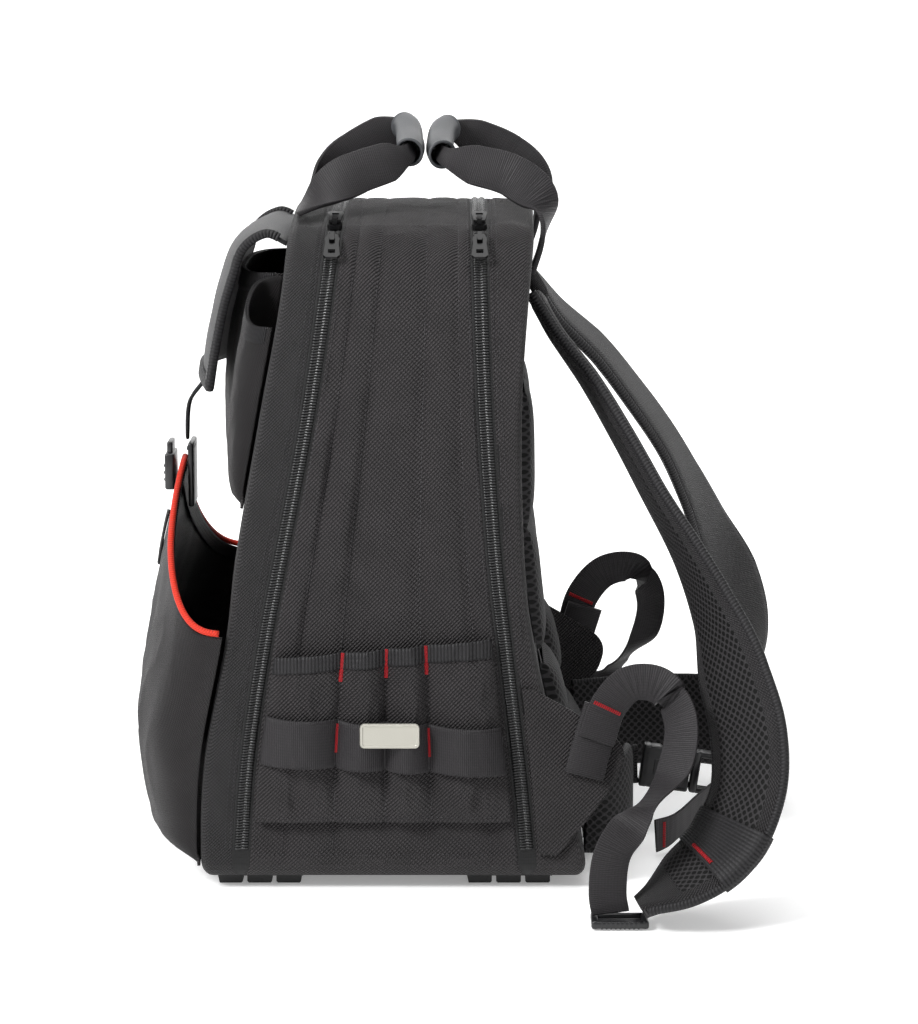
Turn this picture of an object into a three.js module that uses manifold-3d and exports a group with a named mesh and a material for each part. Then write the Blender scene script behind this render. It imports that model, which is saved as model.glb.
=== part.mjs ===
// Tool backpack: a soft body of two zipped shells round a centre gusset, standing on rubber feet,
// with tool pockets, two carry handles, shoulder straps and a fastened waist belt.
// Millimetres, +Z up, the front of the bag towards -Y, the wearer's right towards +X.
import * as THREE from 'three';
import { mergeVertices } from 'three/addons/utils/BufferGeometryUtils.js';
import Module from 'manifold-3d';

const wasm = await Module();
wasm.setup();

// Driving dimensions of the body
const BODY_HEIGHT = 456;
const BODY_DEPTH = 262;
const BASE_WIDTH = 320;
const TOP_WIDTH = 300;
const LOW_CORNER = 16;
const HIGH_CORNER = 60;
const CROWN = 8;
const PANEL_EDGE = 6;
const WALL = 2.5;
const CHANNEL_DEPTH = 2.5;
const CHANNELS = 5;

// Driving dimensions of the zips
const ZIP_WIDTH = 12;
const ZIP_PROUD = 1;
const SEAM_WIDTH = 2.6;
const SLIDER_LENGTH = 14;
const SLIDER_WIDTH = 10;
const SLIDER_PLATE = 3;
const BRIDGE_WIDTH = 3;
const BRIDGE_WIRE = 1.3;
const BRIDGE_ROOM = 3.2;
const TAB_LENGTH = 20;
const TAB_ROOT_WIDTH = 8;
const TAB_END_WIDTH = 11;
const TAB_THICKNESS = 1.8;
const TAB_BAR = 1.8;
const LOW_SLIDER_ANGLE = 56.25;
const HIGH_SLIDER_ANGLE = 78.75;

// Driving dimensions of the feet
const FOOT_HEIGHT = 7;
const FOOT_LENGTH = 60;
const FOOT_WIDTH = 34;
const FOOT_BLOCKS = 3;
const FOOT_PLATE = 2;
const FOOT_SLIT = 3;
const FOOT_SIDE = 140;
const FRONT_FOOT_PLACE = -0.523;
const REAR_FOOT_PLACE = 0.13;

// Driving dimensions of the front and upper pockets and the flap
const CLOTH = 2;
const POCKET_WIDTH = 314;
const POCKET_DEPTH = 60;
const POCKET_FOOT = 17;
const POCKET_SIDE_HEIGHT = 0.386 * BODY_HEIGHT;
const POCKET_RIM_HEIGHT = 0.594 * BODY_HEIGHT;
const PIPING = 4.4;
const BINDING_THICKNESS = 1.4;
const UPPER_WIDTH = 168;
const UPPER_DEPTH = 36;
const UPPER_FOOT = 0.5746 * BODY_HEIGHT;
const UPPER_TOP = 0.908 * BODY_HEIGHT;
const SIDE_UPPER_WIDTH = 58;
const SIDE_UPPER_DEPTH = 24;
const SIDE_UPPER_TOP = 0.873 * BODY_HEIGHT;
const FLAP_WIDTH = 180;
const FLAP_ROOT_HEIGHT = 0.956 * BODY_HEIGHT;
const FLAP_REACH = 66;
const FLAP_DROP = 0.215 * BODY_HEIGHT;
const FLAP_THICKNESS = 3;
const FLAP_EDGE = 8;
const FLAP_EDGE_THICKNESS = 2.4;
const CATCH_WIDTH = 30;
const CATCH_HEIGHT = 26;
const CATCH_THICKNESS = 7;
const TONGUE_WIDTH = 34;
const TONGUE_LENGTH = 46;
const TONGUE_THICKNESS = 4;
const CORD = 2.6;
const CORD_SPREAD = 9;

// Driving dimensions of the side pockets
const SIDE_POCKET_FOOT = 50;
const SIDE_POCKET_FRONT_HEIGHT = 163;
const SIDE_POCKET_REAR_HEIGHT = 176;
const SIDE_POCKET_SWELL = 9;
const LOOP_BAND = 33;
const LOOP_BAND_MIDDLE = 108;
const LOOP_BAND_THICKNESS = 1.6;
const LOOP_BAND_SWELL = 4;
const PLATE_LENGTH = 40;
const PLATE_HEIGHT = 17;
const PLATE_THICKNESS = 1.6;
const PLATE_PLACE = 0.53;

// Driving dimensions of the handles, straps and belt
const HANDLE_WIDTH = 29;
const HANDLE_THICKNESS = 3.6;
const GRIP_RADIUS = 9.5;
const GRIP_WALL = 1.8;
const GRIP_LENGTH = 98;
const PAD_WIDTH = 62;
const PAD_THICKNESS = 11;
const WEBBING_WIDTH = 25;
const WEBBING_THICKNESS = 1.8;
const BELT_PAD_HEIGHT = 66;
const BELT_PAD_THICKNESS = 9;
const BACK_PAD_THICKNESS = 10;
const BUCKLE_LENGTH = 62;
const BUCKLE_HEIGHT = 32;
const BUCKLE_THICKNESS = 11;
const BUCKLE_WALL = 2;
const BUCKLE_TILT = 8;
const BUCKLE_SEAT = 3.3;
const LOCK_LENGTH = 38;
const LOCK_WIDTH = 22;
const LOCK_THICKNESS = 6;
const LOCK_BAR = 5;
const TAB_FOLD_WIDTH = 27;
const TAB_FOLD_THICKNESS = 4.5;
const WING_FOOT = 26;
const WING_TOP = 141;
const WING_REACH = 62;
const GAP = 0.3;

// The body's four lines seen from the side, as shares of its height and its depth
const PROFILE = [
  { height: 0.000, front: -0.660, frontZip: -0.568, rearZip: 0.178, back: 0.322 },
  { height: 0.050, front: -0.672, frontZip: -0.566, rearZip: 0.177, back: 0.328 },
  { height: 0.200, front: -0.660, frontZip: -0.546, rearZip: 0.153, back: 0.261 },
  { height: 0.384, front: -0.599, frontZip: -0.497, rearZip: 0.116, back: 0.190 },
  { height: 0.504, front: -0.573, frontZip: -0.456, rearZip: 0.092, back: 0.168 },
  { height: 0.713, front: -0.508, frontZip: -0.385, rearZip: 0.067, back: 0.160 },
  { height: 0.888, front: -0.452, frontZip: -0.338, rearZip: 0.055, back: 0.178 },
  { height: 1.000, front: -0.435, frontZip: -0.315, rearZip: 0.052, back: 0.200 },
];

// How far the front pocket stands off the body up its middle, as a share of its depth
const POCKET_SWELL = [
  { rise: 0.00, swell: 0.00 },
  { rise: 0.07, swell: 0.60 },
  { rise: 0.17, swell: 0.74 },
  { rise: 0.31, swell: 0.86 },
  { rise: 0.48, swell: 0.98 },
  { rise: 0.71, swell: 1.00 },
  { rise: 0.94, swell: 0.92 },
  { rise: 1.00, swell: 0.89 },
];

// The same for the upper pocket
const UPPER_SWELL = [
  { rise: 0.00, swell: 0.00 },
  { rise: 0.08, swell: 0.48 },
  { rise: 0.40, swell: 0.86 },
  { rise: 0.72, swell: 1.00 },
  { rise: 1.00, swell: 0.94 },
];

// The flap's line from its seam over the pockets, as shares of its reach and its drop
const FLAP_LINE = [
  { reach: 0.00, drop: 0.00 },
  { reach: 0.30, drop: -0.07 },
  { reach: 0.62, drop: 0.05 },
  { reach: 0.80, drop: 0.34 },
  { reach: 0.92, drop: 0.68 },
  { reach: 1.00, drop: 1.00 },
];

const FABRIC_COLOUR = 0x2d2c2e;
const WEBBING_COLOUR = 0x27272a;
const MESH_COLOUR = 0x222224;
const RUBBER_COLOUR = 0x1b1b1c;
const GRIP_COLOUR = 0x6c6e70;
const PIPING_COLOUR = 0xe84a2a;
const STEEL_COLOUR = 0xd6d6cf;
const PLASTIC_COLOUR = 0x1f2022;

const backpack = new THREE.Group();

function addPiece(name, geometry, colour, roughness = 0.85, metalness = 0) {
  const material = new THREE.MeshStandardMaterial({ color: colour, roughness, metalness });
  const mesh = new THREE.Mesh(geometry, material);
  mesh.name = name;
  backpack.add(mesh);
  return mesh;
}

// Reads a column of a table between its rows along a smooth curve
function readTable(table, key, column, value) {
  let row = 1;
  while (row < table.length - 1 && table[row][key] < value) row += 1;
  const before = table[Math.max(row - 2, 0)];
  const low = table[row - 1];
  const high = table[row];
  const after = table[Math.min(row + 1, table.length - 1)];
  const span = high[key] - low[key];
  const share = THREE.MathUtils.clamp((value - low[key]) / span, 0, 1);
  const slopeLow = ((high[column] - before[column]) / (high[key] - before[key])) * span;
  const slopeHigh = ((after[column] - low[column]) / (after[key] - low[key])) * span;
  const square = share * share;
  const cube = square * share;
  return (2 * cube - 3 * square + 1) * low[column] + (cube - 2 * square + share) * slopeLow
    + (3 * square - 2 * cube) * high[column] + (cube - square) * slopeHigh;
}

function profileAt(column, z) {
  return readTable(PROFILE, 'height', column, z / BODY_HEIGHT) * BODY_DEPTH;
}

// Closed meshes

function solidFrom(points, triangles) {
  const geometry = new THREE.BufferGeometry();
  const flat = points.flatMap((point) => [point.x, point.y, point.z]);
  geometry.setAttribute('position', new THREE.Float32BufferAttribute(flat, 3));
  geometry.setIndex(volumeOf(points, triangles) < 0 ? flipped(triangles) : triangles);
  return geometry;
}

function volumeOf(points, triangles) {
  let volume = 0;
  for (let i = 0; i < triangles.length; i += 3) {
    const [a, b, c] = [points[triangles[i]], points[triangles[i + 1]], points[triangles[i + 2]]];
    volume += a.dot(new THREE.Vector3().crossVectors(b, c));
  }
  return volume;
}

function flipped(triangles) {
  const result = [];
  for (let i = 0; i < triangles.length; i += 3) {
    result.push(triangles[i], triangles[i + 2], triangles[i + 1]);
  }
  return result;
}

// Skin over rings of equal length; a looped skin closes on its first ring, others get end caps
function loft(rings, { looped = false, cap = fanCap } = {}) {
  const size = rings[0].length;
  const triangles = [];
  const spans = looped ? rings.length : rings.length - 1;
  for (let k = 0; k < spans; k += 1) {
    const here = k * size;
    const next = ((k + 1) % rings.length) * size;
    for (let i = 0; i < size; i += 1) {
      const j = (i + 1) % size;
      triangles.push(here + i, here + j, next + j, here + i, next + j, next + i);
    }
  }
  if (!looped) {
    triangles.push(...flipped(cap(0, size)));
    triangles.push(...cap((rings.length - 1) * size, size));
  }
  return solidFrom(rings.flat(), triangles);
}

function fanCap(start, size) {
  const triangles = [];
  for (let i = 1; i < size - 1; i += 1) triangles.push(start, start + i, start + i + 1);
  return triangles;
}

// Cap of level strips between the two sides of an arch ring, so that it bends only up its height
function ladderCap(start, size) {
  const triangles = [];
  const half = (size - 1) / 2;
  for (let i = 0; i < half; i += 1) {
    const right = start + i;
    const left = start + size - 1 - i;
    triangles.push(right, right + 1, left);
    if (i < half - 1) triangles.push(right + 1, left - 1, left);
  }
  return triangles;
}

// Cloth with a thickness: a grid laid over a surface and a second one behind it
function sheetSolid({ surface, columns, rows, thickness, lift = 0, side = 1, fit = (point) => point }) {
  const front = [];
  const behind = [];
  rows.forEach((v) => {
    columns.forEach((u) => {
      const point = surface(u, v);
      const normal = normalOf(surface, u, v).multiplyScalar(side);
      front.push(fit(point.clone().addScaledVector(normal, lift)));
      behind.push(fit(point.clone().addScaledVector(normal, lift - thickness)));
    });
  });
  return closeGrids(front, behind, columns.length - 1, rows.length - 1);
}

function evenly(count, from = 0, to = 1) {
  return Array.from({ length: count + 1 }, (_, i) => THREE.MathUtils.lerp(from, to, i / count));
}

function normalOf(surface, u, v) {
  const step = 0.004;
  const along = surface(Math.min(u + step, 1), v).sub(surface(Math.max(u - step, 0), v));
  const upward = surface(u, Math.min(v + step, 1)).sub(surface(u, Math.max(v - step, 0)));
  return along.cross(upward).normalize();
}

function closeGrids(front, behind, across, up) {
  const triangles = [];
  const columns = across + 1;
  const offset = front.length;
  for (let j = 0; j < up; j += 1) {
    for (let i = 0; i < across; i += 1) {
      const a = j * columns + i;
      const [b, c, d] = [a + 1, a + columns + 1, a + columns];
      triangles.push(a, b, c, a, c, d);
      triangles.push(offset + a, offset + c, offset + b, offset + a, offset + d, offset + c);
    }
  }
  const edge = edgeOf(across, up);
  edge.forEach((a, i) => {
    const b = edge[(i + 1) % edge.length];
    triangles.push(a, offset + a, offset + b, a, offset + b, b);
  });
  return solidFrom([...front, ...behind], triangles);
}

function edgeOf(across, up) {
  const columns = across + 1;
  const edge = [];
  for (let i = 0; i < across; i += 1) edge.push(i);
  for (let j = 0; j < up; j += 1) edge.push(j * columns + across);
  for (let i = across; i > 0; i -= 1) edge.push(up * columns + i);
  for (let j = up; j > 0; j -= 1) edge.push(j * columns);
  return edge;
}

// Sections of straps, as shares of width and thickness
const FLAT_SECTION = [[-0.5, -0.5], [0.5, -0.5], [0.5, 0.5], [-0.5, 0.5]];
const PAD_SECTION = [
  [-0.5, -0.22], [-0.34, -0.5], [0.34, -0.5], [0.5, -0.22],
  [0.5, 0.22], [0.34, 0.5], [-0.34, 0.5], [-0.5, 0.22],
];

// A route from a table: places are shares of half the base width, the depth and the height,
// and lean is the direction across the strap
function routeOf(table, mirror = 1) {
  const places = table.map(({ x, y, z, above = 0, beyond = 0 }) => (
    new THREE.Vector3((mirror * x * BASE_WIDTH) / 2, y * BODY_DEPTH + beyond, z * BODY_HEIGHT + above)));
  const leans = table.map(({ lean }) => new THREE.Vector3(mirror * lean[0], lean[1], lean[2]));
  const scales = table.map(({ width = 1, thick = 1 }) => new THREE.Vector3(width, thick, 0));
  return {
    place: new THREE.CatmullRomCurve3(places),
    lean: new THREE.CatmullRomCurve3(leans),
    scale: new THREE.CatmullRomCurve3(scales),
  };
}

function frameAt(route, share) {
  const place = route.place.getPoint(share);
  const along = route.place.getTangent(share);
  const lean = route.lean.getPoint(share);
  const across = lean.addScaledVector(along, -lean.dot(along)).normalize();
  const face = new THREE.Vector3().crossVectors(along, across);
  return { place, along, across, face, scale: route.scale.getPoint(share) };
}

function sectionAt(route, share, section, width, thickness) {
  const { place, across, face, scale } = frameAt(route, share);
  return section.map(([a, b]) => place.clone()
    .addScaledVector(across, a * width * scale.x)
    .addScaledVector(face, b * thickness * scale.y));
}

function strapSolid(route, { width, thickness, steps, section = FLAT_SECTION, from = 0, to = 1 }) {
  const rings = [];
  for (let k = 0; k <= steps; k += 1) {
    rings.push(sectionAt(route, from + ((to - from) * k) / steps, section, width, thickness));
  }
  return loft(rings);
}

// A band that runs round a strap without touching it
function sleeveSolid(route, { width, thickness, wall, first, last, steps, section = FLAT_SECTION }) {
  const room = 2 * GAP;
  const outside = strapSolid(route, {
    width: width + room + 2 * wall,
    thickness: thickness + room + 2 * wall,
    steps: last - first,
    from: first / steps,
    to: last / steps,
    section,
  });
  const inside = strapSolid(route, {
    width: width + room,
    thickness: thickness + room,
    steps: last - first + 2,
    from: (first - 1) / steps,
    to: (last + 1) / steps,
    section,
  });
  return cut(outside, inside);
}

function tubeSolid(points, radius, sides, steps) {
  const section = new THREE.Shape();
  for (let i = 0; i < sides; i += 1) {
    const angle = (2 * Math.PI * i) / sides;
    const [x, y] = [radius * Math.cos(angle), radius * Math.sin(angle)];
    if (i === 0) section.moveTo(x, y);
    else section.lineTo(x, y);
  }
  section.closePath();
  const extrudePath = new THREE.CatmullRomCurve3(points);
  return weld(new THREE.ExtrudeGeometry(section, { steps, extrudePath }));
}

function weld(geometry) {
  geometry.deleteAttribute('normal');
  geometry.deleteAttribute('uv');
  return mergeVertices(geometry, 1e-4);
}

function boxSolid(lengthX, lengthY, lengthZ, x = 0, y = 0, z = 0) {
  const geometry = new THREE.BoxGeometry(lengthX, lengthY, lengthZ);
  geometry.translate(x, y, z);
  return weld(geometry);
}

function toManifold(geometry) {
  return new wasm.Manifold(new wasm.Mesh({
    numProp: 3,
    vertProperties: new Float32Array(geometry.attributes.position.array),
    triVerts: new Uint32Array(geometry.index.array),
  }));
}

function fromManifold(manifold) {
  const { vertProperties, triVerts, numProp } = manifold.getMesh();
  const geometry = new THREE.BufferGeometry();
  const positions = [];
  for (let i = 0; i < vertProperties.length; i += numProp) {
    positions.push(vertProperties[i], vertProperties[i + 1], vertProperties[i + 2]);
  }
  geometry.setAttribute('position', new THREE.Float32BufferAttribute(positions, 3));
  geometry.setIndex([...triVerts]);
  return geometry;
}

function joined(...geometries) {
  return fromManifold(geometries.map(toManifold).reduce((sum, next) => sum.add(next)));
}

function cut(geometry, ...cutters) {
  return fromManifold(cutters.map(toManifold)
    .reduce((rest, cutter) => rest.subtract(cutter), toManifold(geometry)));
}

// Body: arch outlines seen from the front

const LOW_STEPS = 2;
const SIDE_STEPS = 9;
const HIGH_STEPS = 4;
const BODY_FOOT = FOOT_HEIGHT + GAP;
const SHOULDER = BODY_HEIGHT - CROWN;

// The arch from the right bottom corner over the top to the left one, drawn in by inset
function archOutline(inset) {
  const baseHalf = BASE_WIDTH / 2 - inset;
  const topHalf = TOP_WIDTH / 2 - inset;
  const low = LOW_CORNER - inset;
  const high = HIGH_CORNER - inset;
  const right = arcPoints(baseHalf - low, BODY_FOOT + LOW_CORNER, low, -90, 0, LOW_STEPS);
  for (let i = 1; i < SIDE_STEPS; i += 1) {
    const share = i / SIDE_STEPS;
    right.push({
      x: THREE.MathUtils.lerp(baseHalf, topHalf, share),
      z: THREE.MathUtils.lerp(BODY_FOOT + LOW_CORNER, SHOULDER - HIGH_CORNER, share),
    });
  }
  right.push(...arcPoints(topHalf - high, SHOULDER - HIGH_CORNER, high, 0, 90, HIGH_STEPS));
  right.push({ x: (topHalf - high) / 2, z: SHOULDER - inset + 0.75 * CROWN });
  const left = right.map(({ x, z }) => ({ x: -x, z })).reverse();
  return [...right, { x: 0, z: SHOULDER - inset + CROWN }, ...left];
}

function arcPoints(x, z, radius, from, to, steps) {
  const points = [];
  for (let i = 0; i <= steps; i += 1) {
    const angle = THREE.MathUtils.degToRad(from + ((to - from) * i) / steps);
    points.push({ x: x + radius * Math.cos(angle), z: z + radius * Math.sin(angle) });
  }
  return points;
}

function archRing(inset, depthAt, swell = 0) {
  return archOutline(inset).map(({ x, z }) => {
    const lift = Math.sqrt(Math.max(Math.sin((Math.PI * z) / BODY_HEIGHT), 0));
    return new THREE.Vector3(x + Math.sign(x) * swell * lift, depthAt(z), z);
  });
}

// Half the width left open for a zip, which narrows to a sewn seam under the body
function openHalf(z) {
  return z < BODY_FOOT + LOW_CORNER - 1 ? SEAM_WIDTH / 2 : ZIP_WIDTH / 2;
}

function seamLine(column, offset) {
  return (z) => profileAt(column, z) + Math.sign(offset) * (openHalf(z) + GAP);
}

// The flat panels bend only at these heights, so what lies on them can follow them exactly
const PANEL_ROWS = archOutline(PANEL_EDGE).map(({ z }) => z).slice(0, LOW_STEPS + SIDE_STEPS + HIGH_STEPS + 3);

function panelAt(column, z) {
  let row = 1;
  while (row < PANEL_ROWS.length - 1 && PANEL_ROWS[row] < z) row += 1;
  const [low, high] = [PANEL_ROWS[row - 1], PANEL_ROWS[row]];
  const share = (z - low) / (high - low);
  return THREE.MathUtils.lerp(profileAt(column, low), profileAt(column, high), share);
}

function sideAt(z) {
  const share = (z - BODY_FOOT - LOW_CORNER) / (SHOULDER - HIGH_CORNER - BODY_FOOT - LOW_CORNER);
  return THREE.MathUtils.lerp(BASE_WIDTH, TOP_WIDTH, share) / 2;
}

function rowsBetween(low, high) {
  return [low, ...PANEL_ROWS.filter((z) => z > low + 4 && z < high - 4), high];
}

// A shell open towards the zip; way is -1 for the front one and 1 for the rear one
function shellSolid(panelColumn, zipColumn, way) {
  const panel = (inset) => (z) => profileAt(panelColumn, z) - way * inset;
  const rim = seamLine(zipColumn, way);
  return loft([
    archRing(PANEL_EDGE, panel(0)),
    archRing(PANEL_EDGE / 4, panel(PANEL_EDGE / 4)),
    archRing(0, panel(PANEL_EDGE)),
    archRing(0, rim),
    archRing(WALL, rim),
    archRing(WALL, panel(PANEL_EDGE + WALL)),
    archRing(PANEL_EDGE, panel(WALL)),
  ], { cap: ladderCap });
}

// The centre gusset, a band with sewn channels down its sides
function gussetSolid() {
  const front = seamLine('frontZip', 1);
  const rear = seamLine('rearZip', -1);
  const between = (share) => (z) => THREE.MathUtils.lerp(front(z), rear(z), share);
  const rings = [];
  const steps = 2 * CHANNELS;
  for (let k = 0; k <= steps; k += 1) {
    rings.push(archRing(0, between(k / steps), k % 2 === 1 ? CHANNEL_DEPTH : 0));
  }
  rings.push(archRing(WALL, rear), archRing(WALL, front));
  return loft(rings, { looped: true });
}

// The zip's chain and tape, which runs on as a sewn seam under the body
function zipSolid(column) {
  const edge = (way) => (z) => profileAt(column, z) + way * (openHalf(z) - (openHalf(z) < SEAM_WIDTH ? 2 * GAP : 0));
  const proud = (way) => archRing(-ZIP_PROUD, edge(way)).map(({ x, y, z }) => (
    new THREE.Vector3(x, y, Math.max(z, BODY_FOOT))));
  const backing = WALL - 0.5;
  return loft([proud(-1), proud(1), archRing(backing, edge(1)), archRing(backing, edge(-1))], { looped: true });
}

function buildBody() {
  addPiece('front_shell', shellSolid('front', 'frontZip', -1), FABRIC_COLOUR);
  addPiece('centre_gusset', gussetSolid(), FABRIC_COLOUR);
  addPiece('rear_shell', shellSolid('back', 'rearZip', 1), FABRIC_COLOUR);
  addPiece('front_zip', zipSolid('frontZip'), PLASTIC_COLOUR, 0.35);
  addPiece('rear_zip', zipSolid('rearZip'), PLASTIC_COLOUR, 0.35);
}

// Zip sliders, each with a pull that swings on its bridge.
// In their own frame the chain runs along X, the pull lies along +X and +Z points out of the bag.

const BAR_HEIGHT = SLIDER_PLATE + BRIDGE_ROOM / 2;

function sliderSolid() {
  const nose = new THREE.Shape();
  const [half, side] = [SLIDER_LENGTH / 2, SLIDER_WIDTH / 2];
  nose.moveTo(-half, -side * 0.6);
  nose.lineTo(-half * 0.3, -side);
  nose.lineTo(half, -side * 0.8);
  nose.lineTo(half, side * 0.8);
  nose.lineTo(-half * 0.3, side);
  nose.lineTo(-half, side * 0.6);
  nose.closePath();
  const plate = weld(new THREE.ExtrudeGeometry(nose, { depth: SLIDER_PLATE, bevelEnabled: false }));
  const span = SLIDER_LENGTH * 0.62;
  const height = BRIDGE_ROOM + BRIDGE_WIRE;
  const bridge = boxSolid(span, BRIDGE_WIDTH, height + 0.5, 0, 0, SLIDER_PLATE + height / 2 - 0.25);
  const room = boxSolid(span - 2 * BRIDGE_WIRE, BRIDGE_WIDTH + 1, BRIDGE_ROOM, 0, 0, BAR_HEIGHT);
  return joined(plate, cut(bridge, room));
}

function tabSolid() {
  const outline = new THREE.Shape();
  const start = -TAB_BAR / 2;
  outline.moveTo(start, -TAB_ROOT_WIDTH / 2);
  outline.lineTo(TAB_LENGTH - 2, -TAB_END_WIDTH / 2);
  outline.lineTo(TAB_LENGTH, -TAB_END_WIDTH / 3);
  outline.lineTo(TAB_LENGTH, TAB_END_WIDTH / 3);
  outline.lineTo(TAB_LENGTH - 2, TAB_END_WIDTH / 2);
  outline.lineTo(start, TAB_ROOT_WIDTH / 2);
  outline.closePath();
  const ring = BRIDGE_WIDTH / 2 + 0.5;
  const ringEnd = SLIDER_LENGTH * 0.31 + 1.2;
  outline.holes.push(slot(TAB_BAR / 2, ringEnd, ring), slot(TAB_LENGTH - 8, TAB_LENGTH - 4, ring * 1.2));
  const tab = new THREE.ExtrudeGeometry(outline, { depth: TAB_THICKNESS, bevelEnabled: false });
  tab.translate(0, 0, BAR_HEIGHT - TAB_THICKNESS / 2);
  return weld(tab);
}

function slot(low, high, half) {
  const hole = new THREE.Path();
  hole.moveTo(low, -half);
  hole.lineTo(low, half);
  hole.lineTo(high, half);
  hole.lineTo(high, -half);
  hole.closePath();
  return hole;
}

// The frame of a slider on the zip's upper corner: angle is counted from level, on the right side
function sliderFrame(column, angle, way) {
  const turn = THREE.MathUtils.degToRad(angle);
  const radius = (HIGH_CORNER + ZIP_PROUD) * Math.cos(Math.PI / (4 * HIGH_STEPS)) + GAP;
  const out = new THREE.Vector3(Math.cos(turn), 0, Math.sin(turn));
  const hang = new THREE.Vector3(Math.sin(turn), 0, -Math.cos(turn)).multiplyScalar(way);
  const across = new THREE.Vector3().crossVectors(out, hang);
  const place = new THREE.Vector3(TOP_WIDTH / 2 - HIGH_CORNER, 0, SHOULDER - HIGH_CORNER);
  place.addScaledVector(out, radius);
  place.y = profileAt(column, place.z);
  const basis = new THREE.Matrix4().makeBasis(hang, across, out);
  return { place, turn: new THREE.Quaternion().setFromRotationMatrix(basis) };
}

function addSlider(name, column, angle, way) {
  const { place, turn } = sliderFrame(column, angle, way);
  const slider = addPiece(`${name}_slider`, sliderSolid(), PLASTIC_COLOUR, 0.25, 0.6);
  const pull = addPiece(`${name}_pull`, tabSolid(), PLASTIC_COLOUR, 0.25, 0.6);
  [slider, pull].forEach((mesh) => {
    mesh.position.copy(place);
    mesh.quaternion.copy(turn);
  });
}

function buildSliders() {
  addSlider('front_zip_low', 'frontZip', LOW_SLIDER_ANGLE, 1);
  addSlider('front_zip_high', 'frontZip', HIGH_SLIDER_ANGLE, -1);
  addSlider('rear_zip_low', 'rearZip', LOW_SLIDER_ANGLE, 1);
  addSlider('rear_zip_high', 'rearZip', HIGH_SLIDER_ANGLE, -1);
}

// Feet: a plate with three blocks and slits between them

function footSolid() {
  const side = new THREE.Shape();
  const pitch = FOOT_LENGTH / FOOT_BLOCKS;
  side.moveTo(FOOT_LENGTH / 2, FOOT_HEIGHT);
  side.lineTo(-FOOT_LENGTH / 2, FOOT_HEIGHT);
  for (let i = 0; i < FOOT_BLOCKS; i += 1) {
    const start = -FOOT_LENGTH / 2 + i * pitch + FOOT_SLIT / 2;
    const end = start + pitch - FOOT_SLIT;
    if (i > 0) side.lineTo(start, FOOT_HEIGHT - FOOT_PLATE);
    side.lineTo(start, i > 0 ? 1 : FOOT_HEIGHT - FOOT_PLATE);
    side.lineTo(start + 1, 0);
    side.lineTo(end - 1, 0);
    side.lineTo(end, 1);
    side.lineTo(end, FOOT_HEIGHT - FOOT_PLATE);
  }
  side.lineTo(FOOT_LENGTH / 2, FOOT_HEIGHT - FOOT_PLATE);
  side.closePath();
  const foot = new THREE.ExtrudeGeometry(side, { depth: FOOT_WIDTH, bevelEnabled: false });
  foot.translate(0, 0, -FOOT_WIDTH / 2);
  foot.rotateX(Math.PI / 2);
  foot.rotateZ(Math.PI / 2);
  return weld(foot);
}

function buildFeet() {
  const rows = { front: FRONT_FOOT_PLACE * BODY_DEPTH, rear: REAR_FOOT_PLACE * BODY_DEPTH };
  Object.entries(rows).forEach(([row, y]) => {
    [['right', 1], ['left', -1]].forEach(([side, way]) => {
      const foot = addPiece(`foot_${row}_${side}`, footSolid(), RUBBER_COLOUR, 0.7);
      foot.position.set(way * (FOOT_SIDE - FOOT_WIDTH / 2), y, 0);
    });
  });
}

// Pockets on the front panel

function inFrontOfPanel(column = 'front') {
  return (point) => {
    point.y = Math.min(point.y, panelAt(column, point.z) - GAP);
    return point;
  };
}

// The front pocket's wall: u runs from its left edge to its right one, v from its foot to its rim
function frontPocketWall(u, v) {
  const angle = Math.PI * (u - 0.5);
  const x = (POCKET_WIDTH / 2) * Math.sign(Math.sin(angle)) * Math.abs(Math.sin(angle)) ** 0.75;
  const reach = 1 - Math.abs((2 * x) / POCKET_WIDTH) ** 1.35;
  const top = THREE.MathUtils.lerp(POCKET_SIDE_HEIGHT, POCKET_RIM_HEIGHT, reach);
  const z = THREE.MathUtils.lerp(POCKET_FOOT, top, v);
  const swell = readTable(POCKET_SWELL, 'rise', 'swell', v) * Math.cos(angle) ** 0.7;
  return new THREE.Vector3(x, panelAt('front', z) - GAP - POCKET_DEPTH * swell, z);
}

const POCKET_COLUMNS = evenly(16);
const POCKET_ROWS = POCKET_SWELL.map(({ rise }) => rise);

// Where a place across the pocket lies between its left edge and its right one
function pocketShare(x) {
  const part = Math.abs((2 * x) / POCKET_WIDTH) ** (1 / 0.75);
  return 0.5 + (Math.sign(x) * Math.asin(part)) / Math.PI;
}

function rimPoints(count, raise) {
  const points = [];
  for (let i = 0; i <= count; i += 1) {
    const u = 0.012 + (0.976 * i) / count;
    const point = frontPocketWall(u, 1);
    point.z += raise;
    point.y = Math.min(point.y + CLOTH / 2, panelAt('front', point.z) - PIPING / 2 - GAP);
    points.push(point);
  }
  return points;
}

function buildFrontPocket() {
  addPiece('front_pocket', sheetSolid({
    surface: frontPocketWall, columns: POCKET_COLUMNS, rows: POCKET_ROWS, thickness: CLOTH, fit: inFrontOfPanel(),
  }), FABRIC_COLOUR);
  addPiece('front_pocket_binding', sheetSolid({
    surface: frontPocketWall,
    columns: POCKET_COLUMNS.slice(1, -1),
    rows: POCKET_ROWS.slice(-2),
    thickness: BINDING_THICKNESS,
    lift: -CLOTH - GAP,
    fit: inFrontOfPanel(),
  }), WEBBING_COLOUR);
  addPiece('front_pocket_piping', tubeSolid(rimPoints(24, PIPING / 2 + 2 * GAP), PIPING / 2, 6, 30),
    PIPING_COLOUR, 0.7);
}

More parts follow.
